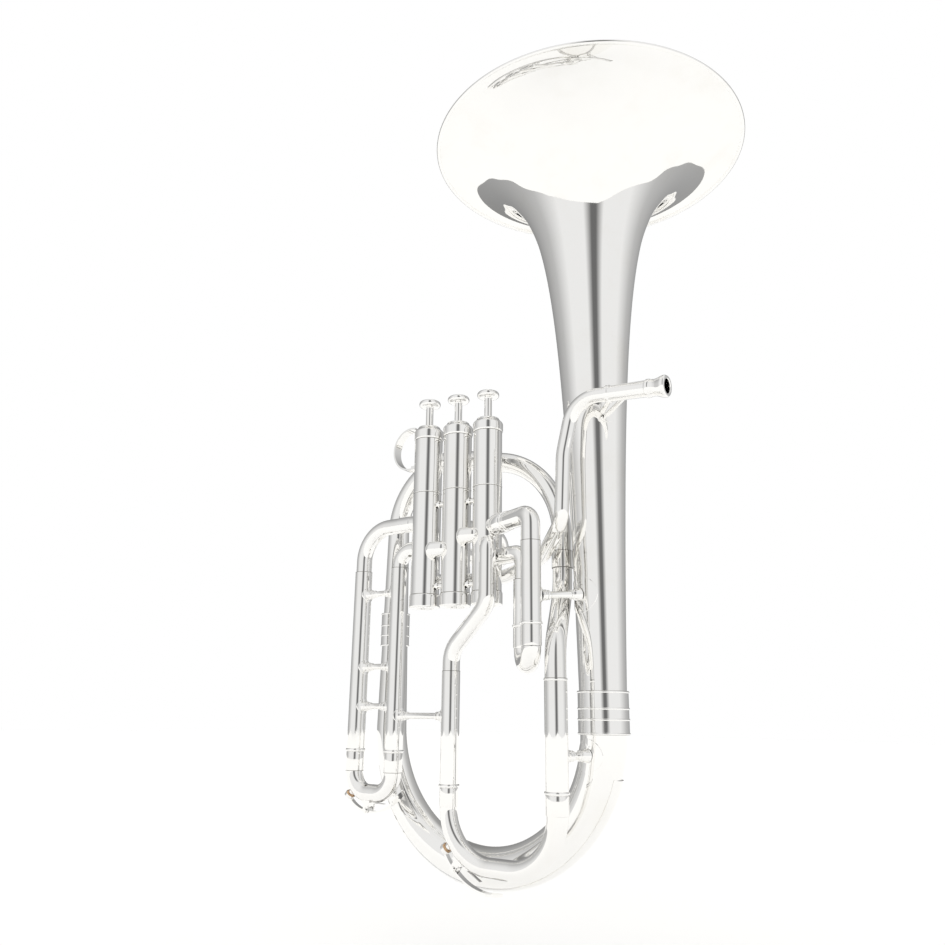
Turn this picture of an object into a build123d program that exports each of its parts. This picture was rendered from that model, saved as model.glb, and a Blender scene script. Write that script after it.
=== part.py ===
from build123d import *
import math
import os

# Upright three-valve euphonium, silver plated, built up as it comes apart on a bench.
#
# Frame: the origin is the centre of the bell mouth, in the plane of its rim.
# +Z points out of the bell, so every piece lies below Z = 0.
# X runs along the valve row, with the bell at X = 0 and the rest of the horn on the -X side.
# -Y is the side that the valve slides stand on. All lengths are millimetres.

# ---------------------------------------------------------------- driving dimensions
FIT = 0.05                       # radial running clearance of slides and pistons
SEAT = 0.03                      # gap left under a soldered foot or ferrule

BELL_R = 138.6                   # radius of the bell edge, inside its rim wire
BELL_SHIFT = 18.0                # below the brim: BELL_R * (1 + depth / shift) ** -power
BELL_POWER = 0.609
BRIM = (                         # radius and depth down the outside, from the edge
    (BELL_R, 0.0), (134.0, 0.4), (130.0, 0.9), (125.0, 2.0), (120.0, 3.7), (114.0, 6.3),
    (108.0, 9.4), (101.0, 13.5), (94.0, 18.2), (86.0, 24.7), (78.0, 32.3), (69.0, 43.1),
    (60.0, 56.6), (51.6, 75.1), (45.28, 95.0),
)
BELL_WALL = 1.0
BELL_DEPTH = 496.5               # the bell tube ends here, inside its garland
RIM_WIRE_R = 1.7                 # wire that the edge is rolled over

GARLAND_R = 19.5
GARLAND_TOP = -483.0
GARLAND_END = -515.0
GARLAND_LINES = (-483.0, -496.0, -504.0, -515.0)

BOW_R = 108.0                    # centreline radius of the bottom bow
BOW_TOP_Z = -511.0
BOW_WALL = 1.0
BOW_BELL_TUBE_R = 18.2           # tube radius where the bow meets the bell
BOW_LEFT_TUBE_R = 13.2           # tube radius where the bow turns straight on the left
LEFT_X = -2 * BOW_R              # axis of the left branch
LEFT_JOINT_Z = -426.0
LEFT_JOINT_R = 11.5
GUARD_THICK = 1.1
GUARD_WIDTH = 15.0

CREST_LEFT_R = 62.0              # centreline radii of the top bow
CREST_RIGHT_R = 75.0
CREST_LEFT_Z = -333.0
CREST_RIGHT_Z = -356.0
RIGHT_X = -34.3                  # axis of the right branch
TOP_BOW_LEFT_TUBE_R = 9.8
TOP_BOW_RIGHT_TUBE_R = 7.9
RIGHT_JOINT_Z = -377.0

VALVE_X = (-86.2, -115.0, -143.8)    # first, second, third; the row stands a little skew
VALVE_Y = (-35.0, -40.2, -45.4)
CASING_R = 12.35
CASING_BORE_R = 11.2
CASING_TOP = -259.5
CASING_END = -407.0
CASING_LINE_Z = -314.4            # raised line around the casing
CAP_R = 13.1
TOP_CAP_TOP = -253.1
TOP_CAP_END = -265.5
BOTTOM_CAP_TOP = -404.0
BOTTOM_CAP_END = -415.4
PISTON_TOP = -317.0
PISTON_END = -396.5
BARREL_R = 8.0
BARREL_TOP = -270.0
STEM_R = 3.3
BUTTON_R = 9.7
BUTTON_TOP = -227.8
STROKE = 16.0
PORT_R = 5.4                     # bore of the valve ports
KNUCKLE_Z = (-357.6, -367.4)     # first to second valve, second to third

THIRD_Y = -40.0                  # the two legs of the third-valve slide
THIRD_X = (-221.5, -177.5)
THIRD_PORT_Z = (-338.0, -361.5)
THIRD_JOINT_Z = -377.0
THIRD_END_Z = -533.0
THIRD_BOW_Z = -566.3
THIRD_BOW_R = 17.5
LEG_R = 7.6                      # outside radius of the third-slide legs
LEG_WALL = 0.85

TUNING_Y = -50.0                 # the two legs of the main tuning slide
TUNING_X = (-110.0, -12.3)
TUNING_LEG_R = (7.3, 8.5)
TUNING_WALL = 0.8
TUNING_END_Z = -556.0
TUNING_BOW_Z = -610.0
TUNING_BOW_R = 40.0
ELBOW_X = -73.7                  # where the first valve's front elbow stands
ELBOW_Y = -51.8
ELBOW_Z = -366.0

FIRST_LEGS = ((-27.0, -60.0), (-45.0, -43.0))    # X, Y of the first-slide legs
FIRST_PORT_Z = (-350.0, -376.5)
FIRST_LEG_R = 7.8
FIRST_ELBOW_R = (7.5, 6.8)
FIRST_END_Z = -436.0

SECOND_X = VALVE_X[1]            # the second slide stands out at the back
SECOND_PORT_Z = (-344.0, -369.0)
SECOND_LEG_R = 6.4
SECOND_END_Y = 8.0

LEADPIPE_R = 5.8
LEADPIPE_Y = -40.5
LEADPIPE_PORT_Z = -389.0
RECEIVER_START = (33.0, LEADPIPE_Y, -257.6)
RECEIVER_END = (83.5, LEADPIPE_Y, -262.3)
SOCKET_R = 5.6                   # straight land at the mouth of the mouthpiece socket
SOCKET_DEPTH = 16.0


# ---------------------------------------------------------------- shared shapes
def bent_wire(points, radii):
    """A line through the points, with every inner corner rounded to a tangent arc."""
    corners = [Vector(*p) for p in points]
    edges = []
    start = corners[0]
    for i in range(1, len(corners) - 1):
        radius = radii[i - 1]
        back = (corners[i - 1] - corners[i]).normalized()
        ahead = (corners[i + 1] - corners[i]).normalized()
        half = math.radians(back.get_angle(ahead)) / 2
        centre = corners[i] + (back + ahead).normalized() * (radius / math.sin(half))
        arc_start = corners[i] + back * (radius / math.tan(half))
        arc_end = corners[i] + ahead * (radius / math.tan(half))
        arc_mid = centre + (corners[i] - centre).normalized() * radius
        if (arc_start - start).length > 0.01:
            edges.append(Line(start, arc_start))
        edges.append(ThreePointArc(arc_start, arc_mid, arc_end))
        start = arc_end
    if (corners[-1] - start).length > 0.01:
        edges.append(Line(start, corners[-1]))
    return Wire(edges)


def disc(point, direction, radius):
    """A round face square to the direction."""
    return Plane(origin=point, z_dir=direction) * Circle(radius)


def rod(path, radius):
    """A solid round bar along a wire."""
    return sweep(disc(path @ 0, path % 0, radius), path=path)


def tube(path, outer_r, wall):
    """A round tube of constant section along a wire."""
    return rod(path, outer_r) - rod(path, outer_r - wall)


def taper_core(path, start_r, end_r, count):
    """A solid round bar along a wire, growing or shrinking evenly from end to end."""
    faces = []
    for i in range(count):
        t = i / (count - 1)
        faces.append(disc(path @ t, path % t, start_r + (end_r - start_r) * t))
    return loft(faces)


def taper_tube(path, start_r, end_r, wall, count=13):
    """A conical tube along a wire."""
    outer = taper_core(path, start_r, end_r, count)
    return outer - taper_core(path, start_r - wall, end_r - wall, count)


def bar(start, end, radius):
    """A straight solid cylinder between two points."""
    a = Vector(*start)
    b = Vector(*end)
    return Plane(origin=a, z_dir=b - a) * Cylinder(
        radius, (b - a).length, align=(Align.CENTER, Align.CENTER, Align.MIN)
    )


def pipe(start, end, outer_r, inner_r):
    """A straight tube between two points."""
    return bar(start, end, outer_r) - bar(start, end, inner_r)


def upright(x, y, z_top, z_end, outer_r, inner_r=0.0):
    """A vertical cylinder or tube."""
    body = bar((x, y, z_end), (x, y, z_top), outer_r)
    if inner_r > 0:
        body = body - bar((x, y, z_end), (x, y, z_top), inner_r)
    return body


def valve_core(index, radius=CASING_R + SEAT):
    """The room that a valve casing takes up, used to end the pipes on its wall."""
    return upright(VALVE_X[index], VALVE_Y[index], CASING_TOP, CASING_END, radius)


def brace(start, end, tube_start, tube_end, post_r=2.1, flange_r=6.2):
    """A turned post between two tubes, with a saddle at each end.

    tube_start and tube_end are (core solid, slightly larger core solid) pairs, and flange_r
    is the radius of the saddle at the end.
    """
    a = Vector(*start)
    b = Vector(*end)
    along = (b - a).normalized()
    length = (b - a).length
    post = bar(start, end, post_r)
    middle = tuple(a + along * length / 2)
    post = post + (bar(start, middle, 6.2) & tube_start[1])
    post = post + (bar(end, middle, flange_r) & tube_end[1])
    for core, skin in (tube_start, tube_end):
        post = post - core
    return post


def leg_pair(x, y, z, radius, height=16.0):
    """The core and the skin of a vertical tube near a brace."""
    core = upright(x, y, z + height, z - height, radius + SEAT)
    skin = upright(x, y, z + height, z - height, radius + 0.9)
    return core, skin


def collar_at(start, end, distance, radius, width):
    """A small collar on a brace post, at a distance from its start."""
    a = Vector(*start)
    along = (Vector(*end) - a).normalized()
    return bar(
        tuple(a + along * (distance - width / 2)),
        tuple(a + along * (distance + width / 2)),
        radius,
    )


# ---------------------------------------------------------------- bell and bows
def bell_radius(depth):
    """Outside radius of the bell below its brim, at a depth below the rim."""
    return BELL_R * (1 + depth / BELL_SHIFT) ** -BELL_POWER


def bell_outline():
    """Points down the outside of the bell as (radius, Z): the brim, then the flare law."""
    points = [(radius, -depth) for radius, depth in BRIM]
    start = BRIM[-1][1]
    for i in range(1, 13):
        depth = start + (BELL_DEPTH - start) * (i / 12) ** 1.7
        points.append((bell_radius(depth), -depth))
    return points


def bell():
    """Flared bell with a thin wall, turned about Z."""
    outer = bell_outline()
    inner = []
    for i, (radius, z) in enumerate(outer):
        above = outer[max(i - 1, 0)]
        below = outer[min(i + 1, len(outer) - 1)]
        length = math.dist(above, below)
        inner.append(
            (
                radius - BELL_WALL * (above[1] - below[1]) / length,
                z + BELL_WALL * (above[0] - below[0]) / length,
            )
        )
    inner[0] = (BELL_R - 0.1, BELL_WALL)
    inner[-1] = (outer[-1][0] - BELL_WALL, -BELL_DEPTH)
    side = Plane.XZ * make_face(
        Wire(
            [
                Spline(*outer),
                Line(outer[-1], inner[-1]),
                Spline(*reversed(inner)),
                Line(inner[0], outer[0]),
            ]
        )
    )
    return revolve(side, Axis.Z)


def bell_core(grow, z_top, z_end):
    """The solid that the bell tube fills between two heights."""
    steps = 6
    points = []
    for i in range(steps + 1):
        z = z_top + (z_end - z_top) * i / steps
        points.append((bell_radius(-z) + grow, z))
    side = Plane.XZ * make_face(Polyline((0, z_top), *points, (0, z_end), close=True))
    return revolve(side, Axis.Z)


def bell_rim_wire():
    """Round wire that the edge of the bell is rolled over."""
    section = Pos(BELL_R - 0.2, -0.15) * Circle(RIM_WIRE_R)
    edge = Polyline(
        (BELL_R - 6, 6), (BELL_R + SEAT, 6), (BELL_R + SEAT, -SEAT),
        (BELL_R - 6, -0.62), close=True,
    )
    return revolve(Plane.XZ * (section - make_face(edge)), Axis.Z)


def bell_garland():
    """Sleeve that joins the bell to the bottom bow, with raised lines."""
    sleeve = upright(0, 0, GARLAND_TOP, GARLAND_END, GARLAND_R)
    for z in GARLAND_LINES:
        middle = min(max(z, GARLAND_END + 0.8), GARLAND_TOP - 0.8)
        sleeve = sleeve + upright(0, 0, middle + 0.8, middle - 0.8, GARLAND_R + 0.55)
    sleeve = sleeve - bell_core(SEAT, GARLAND_TOP + 1, -BELL_DEPTH)
    return sleeve - bottom_bow_solid(SEAT)


def bottom_bow_path():
    """From the bell end of the bow to its left end."""
    return Wire(
        [
            Line((0, 0, -BELL_DEPTH - 0.2), (0, 0, BOW_TOP_Z)),
            ThreePointArc(
                (0, 0, BOW_TOP_Z), (-BOW_R, 0, BOW_TOP_Z - BOW_R), (LEFT_X, 0, BOW_TOP_Z)
            ),
        ]
    )


def bottom_bow_solid(grow):
    """The bottom bow as a filled shape: the curved part and its straight left end."""
    curved = taper_core(bottom_bow_path(), BOW_BELL_TUBE_R + grow, BOW_LEFT_TUBE_R + grow, 19)
    left = loft(
        [
            disc((LEFT_X, 0, BOW_TOP_Z), (0, 0, 1), BOW_LEFT_TUBE_R + grow),
            disc((LEFT_X, 0, LEFT_JOINT_Z - 0.1), (0, 0, 1), LEFT_JOINT_R + grow),
        ]
    )
    return curved + left


def bottom_bow():
    """Big conical bow that turns the air column up into the bell."""
    return bottom_bow_solid(0) - bottom_bow_solid(-BOW_WALL)


def bow_guard():
    """Strip soldered along the outside of the bottom bow to take the knocks."""
    skin = bottom_bow_solid(SEAT + GUARD_THICK) - bottom_bow_solid(SEAT)
    centre = (-BOW_R, 0, BOW_TOP_Z)
    band = Plane(origin=centre, z_dir=(0, 1, 0)) * (
        Cylinder(BOW_R + 40, GUARD_WIDTH) - Cylinder(BOW_R + 4, GUARD_WIDTH + 2)
    )
    below = Pos(-BOW_R + 10, 0, BOW_TOP_Z - 86) * Box(300, 60, 110)
    return skin & band & below


def left_branch():
    """Straight conical tube up the left side."""
    outer = loft(
        [
            disc((LEFT_X, 0, LEFT_JOINT_Z + 0.1), (0, 0, 1), LEFT_JOINT_R),
            disc((LEFT_X, 0, CREST_LEFT_Z), (0, 0, 1), TOP_BOW_LEFT_TUBE_R),
        ]
    )
    inner = loft(
        [
            disc((LEFT_X, 0, LEFT_JOINT_Z + 0.1), (0, 0, 1), LEFT_JOINT_R - BOW_WALL),
            disc((LEFT_X, 0, CREST_LEFT_Z), (0, 0, 1), TOP_BOW_LEFT_TUBE_R - BOW_WALL),
        ]
    )
    return outer - inner


def branch_ferrules():
    """Sleeves over the two joints of the branches: bow to left branch, top bow to right."""
    sleeve = upright(LEFT_X, 0, -411, -441, LEFT_JOINT_R + 1.5)
    for z in (-411.8, -422.5, -431.5, -440.2):
        sleeve = sleeve + upright(LEFT_X, 0, z + 0.7, z - 0.7, LEFT_JOINT_R + 1.9)
    sleeve = sleeve - upright(LEFT_X, 0, -400, -450, LEFT_JOINT_R + 0.62)
    right = upright(RIGHT_X, 0, -370, -384, 8.7, 8.0 + SEAT)
    return Compound(children=[sleeve, right])


def crest_normal():
    """Angle of the line that touches both arcs of the top bow, and their centres."""
    left = (LEFT_X + CREST_LEFT_R, CREST_LEFT_Z)
    right = (RIGHT_X - CREST_RIGHT_R, CREST_RIGHT_Z)
    dx = right[0] - left[0]
    dz = right[1] - left[1]
    span = math.hypot(dx, dz)
    return math.atan2(dz, dx) + math.acos((CREST_LEFT_R - CREST_RIGHT_R) / span), left, right


def crest_point(centre, radius, angle):
    return (centre[0] + radius * math.cos(angle), 0, centre[1] + radius * math.sin(angle))


def top_bow():
    """Bow behind the valves, narrowing from the left branch to the right one."""
    touch, left, right = crest_normal()
    half = (math.pi + touch) / 2
    path = Wire(
        [
            ThreePointArc(
                (LEFT_X, 0, CREST_LEFT_Z + 0.1),
                crest_point(left, CREST_LEFT_R, half),
                crest_point(left, CREST_LEFT_R, touch),
            ),
            Line(
                crest_point(left, CREST_LEFT_R, touch),
                crest_point(right, CREST_RIGHT_R, touch),
            ),
            ThreePointArc(
                crest_point(right, CREST_RIGHT_R, touch),
                crest_point(right, CREST_RIGHT_R, touch / 2),
                (RIGHT_X, 0, CREST_RIGHT_Z),
            ),
        ]
    )
    bow = taper_tube(path, TOP_BOW_LEFT_TUBE_R, TOP_BOW_RIGHT_TUBE_R, 0.9, 17)
    tail = upright(
        RIGHT_X, 0, CREST_RIGHT_Z, RIGHT_JOINT_Z + 0.1,
        TOP_BOW_RIGHT_TUBE_R, TOP_BOW_RIGHT_TUBE_R - 0.9,
    )
    return bow + tail


def right_branch():
    """S-bend from behind the valves forward to the right leg of the main tuning slide."""
    path = bent_wire(
        [
            (RIGHT_X, 0, RIGHT_JOINT_Z - 0.1),
            (RIGHT_X, 0, -402),
            (TUNING_X[1], TUNING_Y, -452),
            (TUNING_X[1], TUNING_Y, -474.8),
        ],
        [36.0, 36.0],
    )
    return tube(path, 8.0, 0.8)


# ---------------------------------------------------------------- leadpipe
def leadpipe():
    """Pipe from the receiver, past the front of the bell, behind the valves to valve three."""
    third = VALVE_X[2]
    path = bent_wire(
        [
            receiver_axis(-0.1),
            receiver_axis(-30.0),
            (-8, LEADPIPE_Y, -300),
            (-11.5, -39, -354),
            (-45, -14, -376.5),
            (-82, -13.5, LEADPIPE_PORT_Z),
            (third, -13.5, LEADPIPE_PORT_Z),
            (third, VALVE_Y[2] + 4, LEADPIPE_PORT_Z),
        ],
        [24.0, 60.0, 18.0, 28.0, 40.0, 9.0],
    )
    return tube(path, LEADPIPE_R, 0.8) - valve_core(2)


def receiver_axis(distance):
    """A point on the axis of the receiver, at a distance from its inner end."""
    a = Vector(*RECEIVER_START)
    b = Vector(*RECEIVER_END)
    return tuple(a + (b - a).normalized() * distance)


def mouthpiece_receiver():
    """Receiver with two collars, a waist and a rolled mouth."""
    length = (Vector(*RECEIVER_END) - Vector(*RECEIVER_START)).length
    outline = [
        (0, 7.0), (2.2, 7.0), (2.6, 6.3), (length - 17, 6.5), (length - 16.6, 7.3),
        (length - 14.4, 7.3), (length - 13.6, 6.8), (length - 10.5, 6.5), (length - 8, 6.9),
        (length - 5, 8.0), (length - 3.2, 8.6), (length - 1.2, 8.6), (length, 7.8),
    ]
    along = Vector(*RECEIVER_END) - Vector(*RECEIVER_START)
    frame = Plane(origin=RECEIVER_START, x_dir=(0, 1, 0), z_dir=along)
    side = Plane.XZ * make_face(
        Polyline((0, 0), *[(r, z) for z, r in outline], (0, length), close=True)
    )
    body = frame * revolve(side, Axis.Z)
    body = body - bar(receiver_axis(length - SOCKET_DEPTH), receiver_axis(length + 1), SOCKET_R)
    return body - bar(receiver_axis(-1), receiver_axis(length - SOCKET_DEPTH), 4.9)


def receiver_feet():
    """Two short feet that hold the receiver off the bell."""
    feet = []
    for distance in (5.0, 20.0):
        top = Vector(*receiver_axis(distance))
        base = Vector(top.X * 0.32, -14, top.Z - 6)
        foot = bar(tuple(top), tuple(base), 2.0)
        foot = foot + bar(tuple(top), tuple(top + (base - top).normalized() * 9.6), 3.1)
        pad = bar(tuple(top + (base - top) * 0.3), tuple(base), 6.5)
        pad = pad & bell_core(0.9, top.Z + 14, top.Z - 20)
        foot = (foot + pad) - bell_core(SEAT, top.Z + 14, top.Z - 20)
        foot = foot - bar(receiver_axis(-2), receiver_axis(34), 7.0 + SEAT)
        foot = foot - bar(receiver_axis(-14), receiver_axis(0), LEADPIPE_R + SEAT)
        feet.append(foot)
    return feet


# ---------------------------------------------------------------- valves
def casing_ports(index):
    """Where the pipes of a valve go: the point each one heads for, and its height."""
    back = (VALVE_X[index], VALVE_Y[index] + 30)
    left = (VALVE_X[index] - 30, THIRD_Y)
    ports = {
        0: [
            ((ELBOW_X, ELBOW_Y), ELBOW_Z),
            (FIRST_LEGS[0], FIRST_PORT_Z[0]),
            (FIRST_LEGS[1], FIRST_PORT_Z[1]),
        ],
        1: [(back, SECOND_PORT_Z[0]), (back, SECOND_PORT_Z[1])],
        2: [(back, LEADPIPE_PORT_Z), (left, THIRD_PORT_Z[0]), (left, THIRD_PORT_Z[1])],
    }
    return ports[index]


def knuckle_line(index):
    """End points of the short pipe between valve index + 1 and valve index."""
    z = KNUCKLE_Z[index]
    start = (VALVE_X[index + 1] + 4, VALVE_Y[index + 1] - 6.2, z)
    return start, (VALVE_X[index] - 4, VALVE_Y[index] - 6.2, z)


def valve_casing(index):
    """Casing tube with its ports, a joint line and the threads under the caps."""
    x = VALVE_X[index]
    y = VALVE_Y[index]
    body = upright(x, y, TOP_CAP_END - 0.01, BOTTOM_CAP_TOP + 0.01, CASING_R)
    body = body + upright(x, y, CASING_TOP, CASING_END, CASING_R - 0.35)
    body = body + upright(x, y, CASING_LINE_Z + 0.5, CASING_LINE_Z - 0.5, CASING_R + 0.25)
    body = body - upright(x, y, CASING_TOP + 1, CASING_END - 1, CASING_BORE_R)
    for (px, py), z in casing_ports(index):
        body = body - bar((x, y, z), (px, py, z), PORT_R)
    for pair in (0, 1):
        if index in (pair, pair + 1):
            start, end = knuckle_line(pair)
            body = body - bar(start, end, 4.6)
    return body


def knuckle(index):
    """Short pipe between two neighbouring casings, low on their front."""
    start, end = knuckle_line(index)
    body = pipe(start, end, 6.0, 4.6)
    return body - valve_core(index) - valve_core(index + 1)


def casing_studs():
    """Four turned studs that hold the casings apart."""
    studs = []
    for right in (0, 1):
        for z in (-326.0, -397.0):
            a = (VALVE_X[right + 1], VALVE_Y[right + 1] - 3, z)
            b = (VALVE_X[right], VALVE_Y[right] - 3, z)
            stud = bar(a, b, 2.0)
            stud = stud + collar_at(a, b, math.dist(a, b) / 2, 3.3, 1.6)
            stud = stud - valve_core(right) - valve_core(right + 1)
            studs.append(stud)
    return Compound(children=studs)


def top_cap(index):
    """Screwed top cap with a rounded shoulder and a hole for the stem."""
    x = VALVE_X[index]
    z = TOP_CAP_TOP
    outline = [
        (STEM_R + 0.35, z), (9.4, z), (9.8, z - 0.4), (10.3, z - 1.6), (11.6, z - 3.0),
        (12.6, z - 3.9), (CAP_R, z - 5.0), (CAP_R, TOP_CAP_END + 1.2),
        (CAP_R - 0.5, TOP_CAP_END), (CASING_R - 0.35 + SEAT, TOP_CAP_END),
        (CASING_R - 0.35 + SEAT, CASING_TOP + 0.2), (9.2, CASING_TOP + 0.2),
        (9.2, CASING_TOP + 3.2), (STEM_R + 0.35, CASING_TOP + 3.2),
    ]
    side = Plane.XZ * make_face(Polyline(*outline, close=True))
    return Pos(x, VALVE_Y[index], 0) * revolve(side, Axis.Z)


def bottom_cap(index):
    """Screwed bottom cap with a dished floor and a nipple."""
    x = VALVE_X[index]
    outline = [
        (0, BOTTOM_CAP_END + 1.6), (7.5, BOTTOM_CAP_END + 1.6), (9.0, BOTTOM_CAP_END),
        (CAP_R - 1.0, BOTTOM_CAP_END), (CAP_R, BOTTOM_CAP_END + 1.0),
        (CAP_R, BOTTOM_CAP_TOP - 1.0), (CAP_R - 0.5, BOTTOM_CAP_TOP),
        (CASING_R - 0.35 + SEAT, BOTTOM_CAP_TOP), (CASING_R - 0.35 + SEAT, CASING_END - 0.2),
        (11.5, CASING_END - 0.2), (11.5, BOTTOM_CAP_END + 2.6), (0, BOTTOM_CAP_END + 2.6),
    ]
    side = Plane.XZ * make_face(Polyline(*outline, close=True))
    return Pos(x, VALVE_Y[index], 0) * revolve(side, Axis.Z)


def piston(index):
    """Piston with its cross passages and the slotted spring barrel on top."""
    x = VALVE_X[index]
    y = VALVE_Y[index]
    body = upright(x, y, PISTON_TOP, PISTON_END, CASING_BORE_R - FIT)
    body = body - upright(x, y, PISTON_END + 62, PISTON_END, 2.6)
    barrel = upright(x, y, BARREL_TOP, PISTON_TOP - 0.5, BARREL_R)
    barrel = barrel - upright(x, y, BARREL_TOP - 2, PISTON_TOP - 0.4, BARREL_R - 1.0)
    slot = Pos(x, y, (-279 + PISTON_TOP + 1) / 2) * Box(40, 5.2, -279 - PISTON_TOP - 1)
    body = body + (barrel - slot)
    for z in (-344.0, -366.0, -387.5):
        turn = math.radians(35 * index + z)
        out = (20 * math.cos(turn), 20 * math.sin(turn))
        body = body - bar(
            (x - out[0], y - out[1], z - 4), (x + out[0], y + out[1], z + 4), 4.6
        )
    return body - upright(x, y, BARREL_TOP + 1, BARREL_TOP - 4, 2.2)


def valve_stem(index):
    """Stem from the roof of the barrel to the finger button."""
    x = VALVE_X[index]
    y = VALVE_Y[index]
    stem = upright(x, y, BUTTON_TOP - 5.65, BARREL_TOP + SEAT, STEM_R)
    return stem + upright(x, y, BARREL_TOP + 1, BARREL_TOP - 3.5, 2.15)


def finger_button(index):
    """Round finger button with a dished top."""
    x = VALVE_X[index]
    y = VALVE_Y[index]
    z = BUTTON_TOP
    outline = [
        (0, z - 0.5), (5.6, z - 0.4), (7.2, z), (8.4, z - 0.4), (9.3, z - 1.3),
        (BUTTON_R, z - 2.4), (BUTTON_R, z - 3.4), (9.3, z - 4.6), (8.2, z - 5.4),
        (6.6, z - 5.6), (0, z - 5.6),
    ]
    side = Plane.XZ * make_face(Polyline(*outline, close=True))
    return Pos(x, y, 0) * revolve(side, Axis.Z)


def stem_felts(index):
    """Felt washer on the barrel, under the top cap."""
    x = VALVE_X[index]
    y = VALVE_Y[index]
    return upright(x, y, CASING_TOP + 2.9, BARREL_TOP + 0.03, 7.6, STEM_R + SEAT)


def valve_guides():
    """Three cross-shaped guides that stop the pistons turning and carry their springs."""
    guides = []
    for x, y in zip(VALVE_X, VALVE_Y):
        guide = upright(x, y, -297, -299.5, 6.7)
        arm = Pos(x, y, -298.25) * Box(2 * (CASING_BORE_R + 0.4), 4.8, 2.5)
        arm = arm & upright(x, y, -290, -305, CASING_BORE_R - 0.02)
        guides.append(guide + arm)
    return Compound(children=guides)


def valve_spring(index):
    """Compression spring between the guide and the roof of the barrel."""
    x = VALVE_X[index]
    y = VALVE_Y[index]
    height = 24.0
    coil = Helix(pitch=height / 7, height=height, radius=5.2)
    section = Plane(origin=coil @ 0, z_dir=coil % 0) * Circle(0.45)
    spring = sweep(section, path=coil, is_frenet=True)
    return Pos(x, y, -297 + 0.5) * spring


def finger_ring():
    """Flat band bent to a ring on the left of the third casing."""
    centre_x = -161.2
    centre_z = -271.1
    y = VALVE_Y[2] - 1
    around_cap = upright(VALVE_X[2], VALVE_Y[2], -240, -300, CAP_R + SEAT)
    around_casing = upright(VALVE_X[2], VALVE_Y[2], -240, -300, CASING_R + SEAT)
    ring = Plane(origin=(centre_x, y, centre_z), z_dir=(0, 1, 0)) * (
        Cylinder(20.0, 8.5) - Cylinder(18.4, 9.5)
    )
    band = (ring - around_cap).solids().sort_by(Axis.X)[0]
    foot = Pos(centre_x + 5.1, y, centre_z - 18.2) * Box(7, 8.5, 3.2)
    return band + (foot - around_casing)


# ---------------------------------------------------------------- valve loops
def ringed_leg(x, y, z_top, z_end, outer_r, wall):
    """Outer slide leg: a vertical tube with a bead at its open end."""
    leg = upright(x, y, z_top, z_end, outer_r)
    leg = leg + upright(x, y, z_end + 2.2, z_end, outer_r + 0.9)
    return leg - upright(x, y, z_top + 1, z_end - 1, outer_r - wall)


def third_slide_tubes():
    """The two fixed tubes of the third-valve loop, from the casing down to the slide."""
    tubes = None
    for x, z_port, radius in (
        (THIRD_X[0], THIRD_PORT_Z[0], 29.0), (THIRD_X[1], THIRD_PORT_Z[1], 13.5)
    ):
        path = bent_wire(
            [
                (VALVE_X[2], THIRD_Y, z_port),
                (x, THIRD_Y, z_port),
                (x, THIRD_Y, THIRD_JOINT_Z),
            ],
            [radius],
        )
        elbow = tube(path, 6.9, 0.9)
        leg = ringed_leg(x, THIRD_Y, THIRD_JOINT_Z, THIRD_END_Z, LEG_R, LEG_WALL)
        piece = (elbow + leg) - valve_core(2)
        tubes = piece if tubes is None else tubes + piece
    return tubes


def u_slide(legs, z_stop, z_bow, bow_r, inner_r, bow_tube_r, ferrule_r, z_inner_top):
    """A vertical pull-out slide: two inner legs, two ferrules and the bow below them."""
    (xa, ya), (xb, yb) = legs
    z_leg = z_bow + bow_r
    path = bent_wire(
        [(xa, ya, z_leg), (xa, ya, z_bow), (xb, yb, z_bow), (xb, yb, z_leg)], [bow_r, bow_r]
    )
    bore_r = (inner_r[0] - 0.9, inner_r[1] - 0.9)
    if bow_tube_r[0] == bow_tube_r[1]:
        slide = rod(path, bow_tube_r[0]) - rod(path, bore_r[0])
    else:
        slide = taper_core(path, bow_tube_r[0], bow_tube_r[1], 25)
        slide = slide - taper_core(path, bore_r[0], bore_r[1], 25)
    for (x, y), ferrule, inner in zip(legs, ferrule_r, inner_r):
        leg = upright(x, y, z_stop, z_leg, ferrule)
        leg = leg + upright(x, y, z_inner_top, z_stop - 2, inner)
        slide = slide + (leg - upright(x, y, z_inner_top + 1, z_leg - 1, inner - 0.9))
    return slide


def third_slide():
    """Long slide of the third valve."""
    inner = LEG_R - LEG_WALL - FIT
    legs = ((THIRD_X[0], THIRD_Y), (THIRD_X[1], THIRD_Y))
    return u_slide(
        legs, THIRD_END_Z - 0.4, THIRD_BOW_Z, THIRD_BOW_R,
        (inner, inner), (7.2, 7.2), (7.75, 7.75), -415.0,
    )


def first_slide_tubes():
    """The two fixed tubes of the first-valve loop."""
    tubes = None
    for (x, y), z_port, elbow_r in zip(FIRST_LEGS, FIRST_PORT_Z, FIRST_ELBOW_R):
        path = bent_wire(
            [(VALVE_X[0], VALVE_Y[0], z_port), (x, y, z_port), (x, y, z_port - 22)], [9.2]
        )
        elbow = tube(path, elbow_r, 0.9)
        leg = ringed_leg(x, y, z_port - 22, FIRST_END_Z, FIRST_LEG_R, LEG_WALL)
        piece = (elbow + leg) - valve_core(0)
        tubes = piece if tubes is None else tubes + piece
    return tubes


def first_slide():
    """Short slide of the first valve, set across the row."""
    inner = FIRST_LEG_R - LEG_WALL - FIT
    (xa, ya), (xb, yb) = FIRST_LEGS
    bow_r = math.hypot(xa - xb, ya - yb) / 2
    return u_slide(
        FIRST_LEGS, FIRST_END_Z - 0.4, FIRST_END_Z - 15.8 - bow_r, bow_r,
        (inner, inner), (7.4, 7.4), (7.9, 7.9), -402.0,
    )


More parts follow.
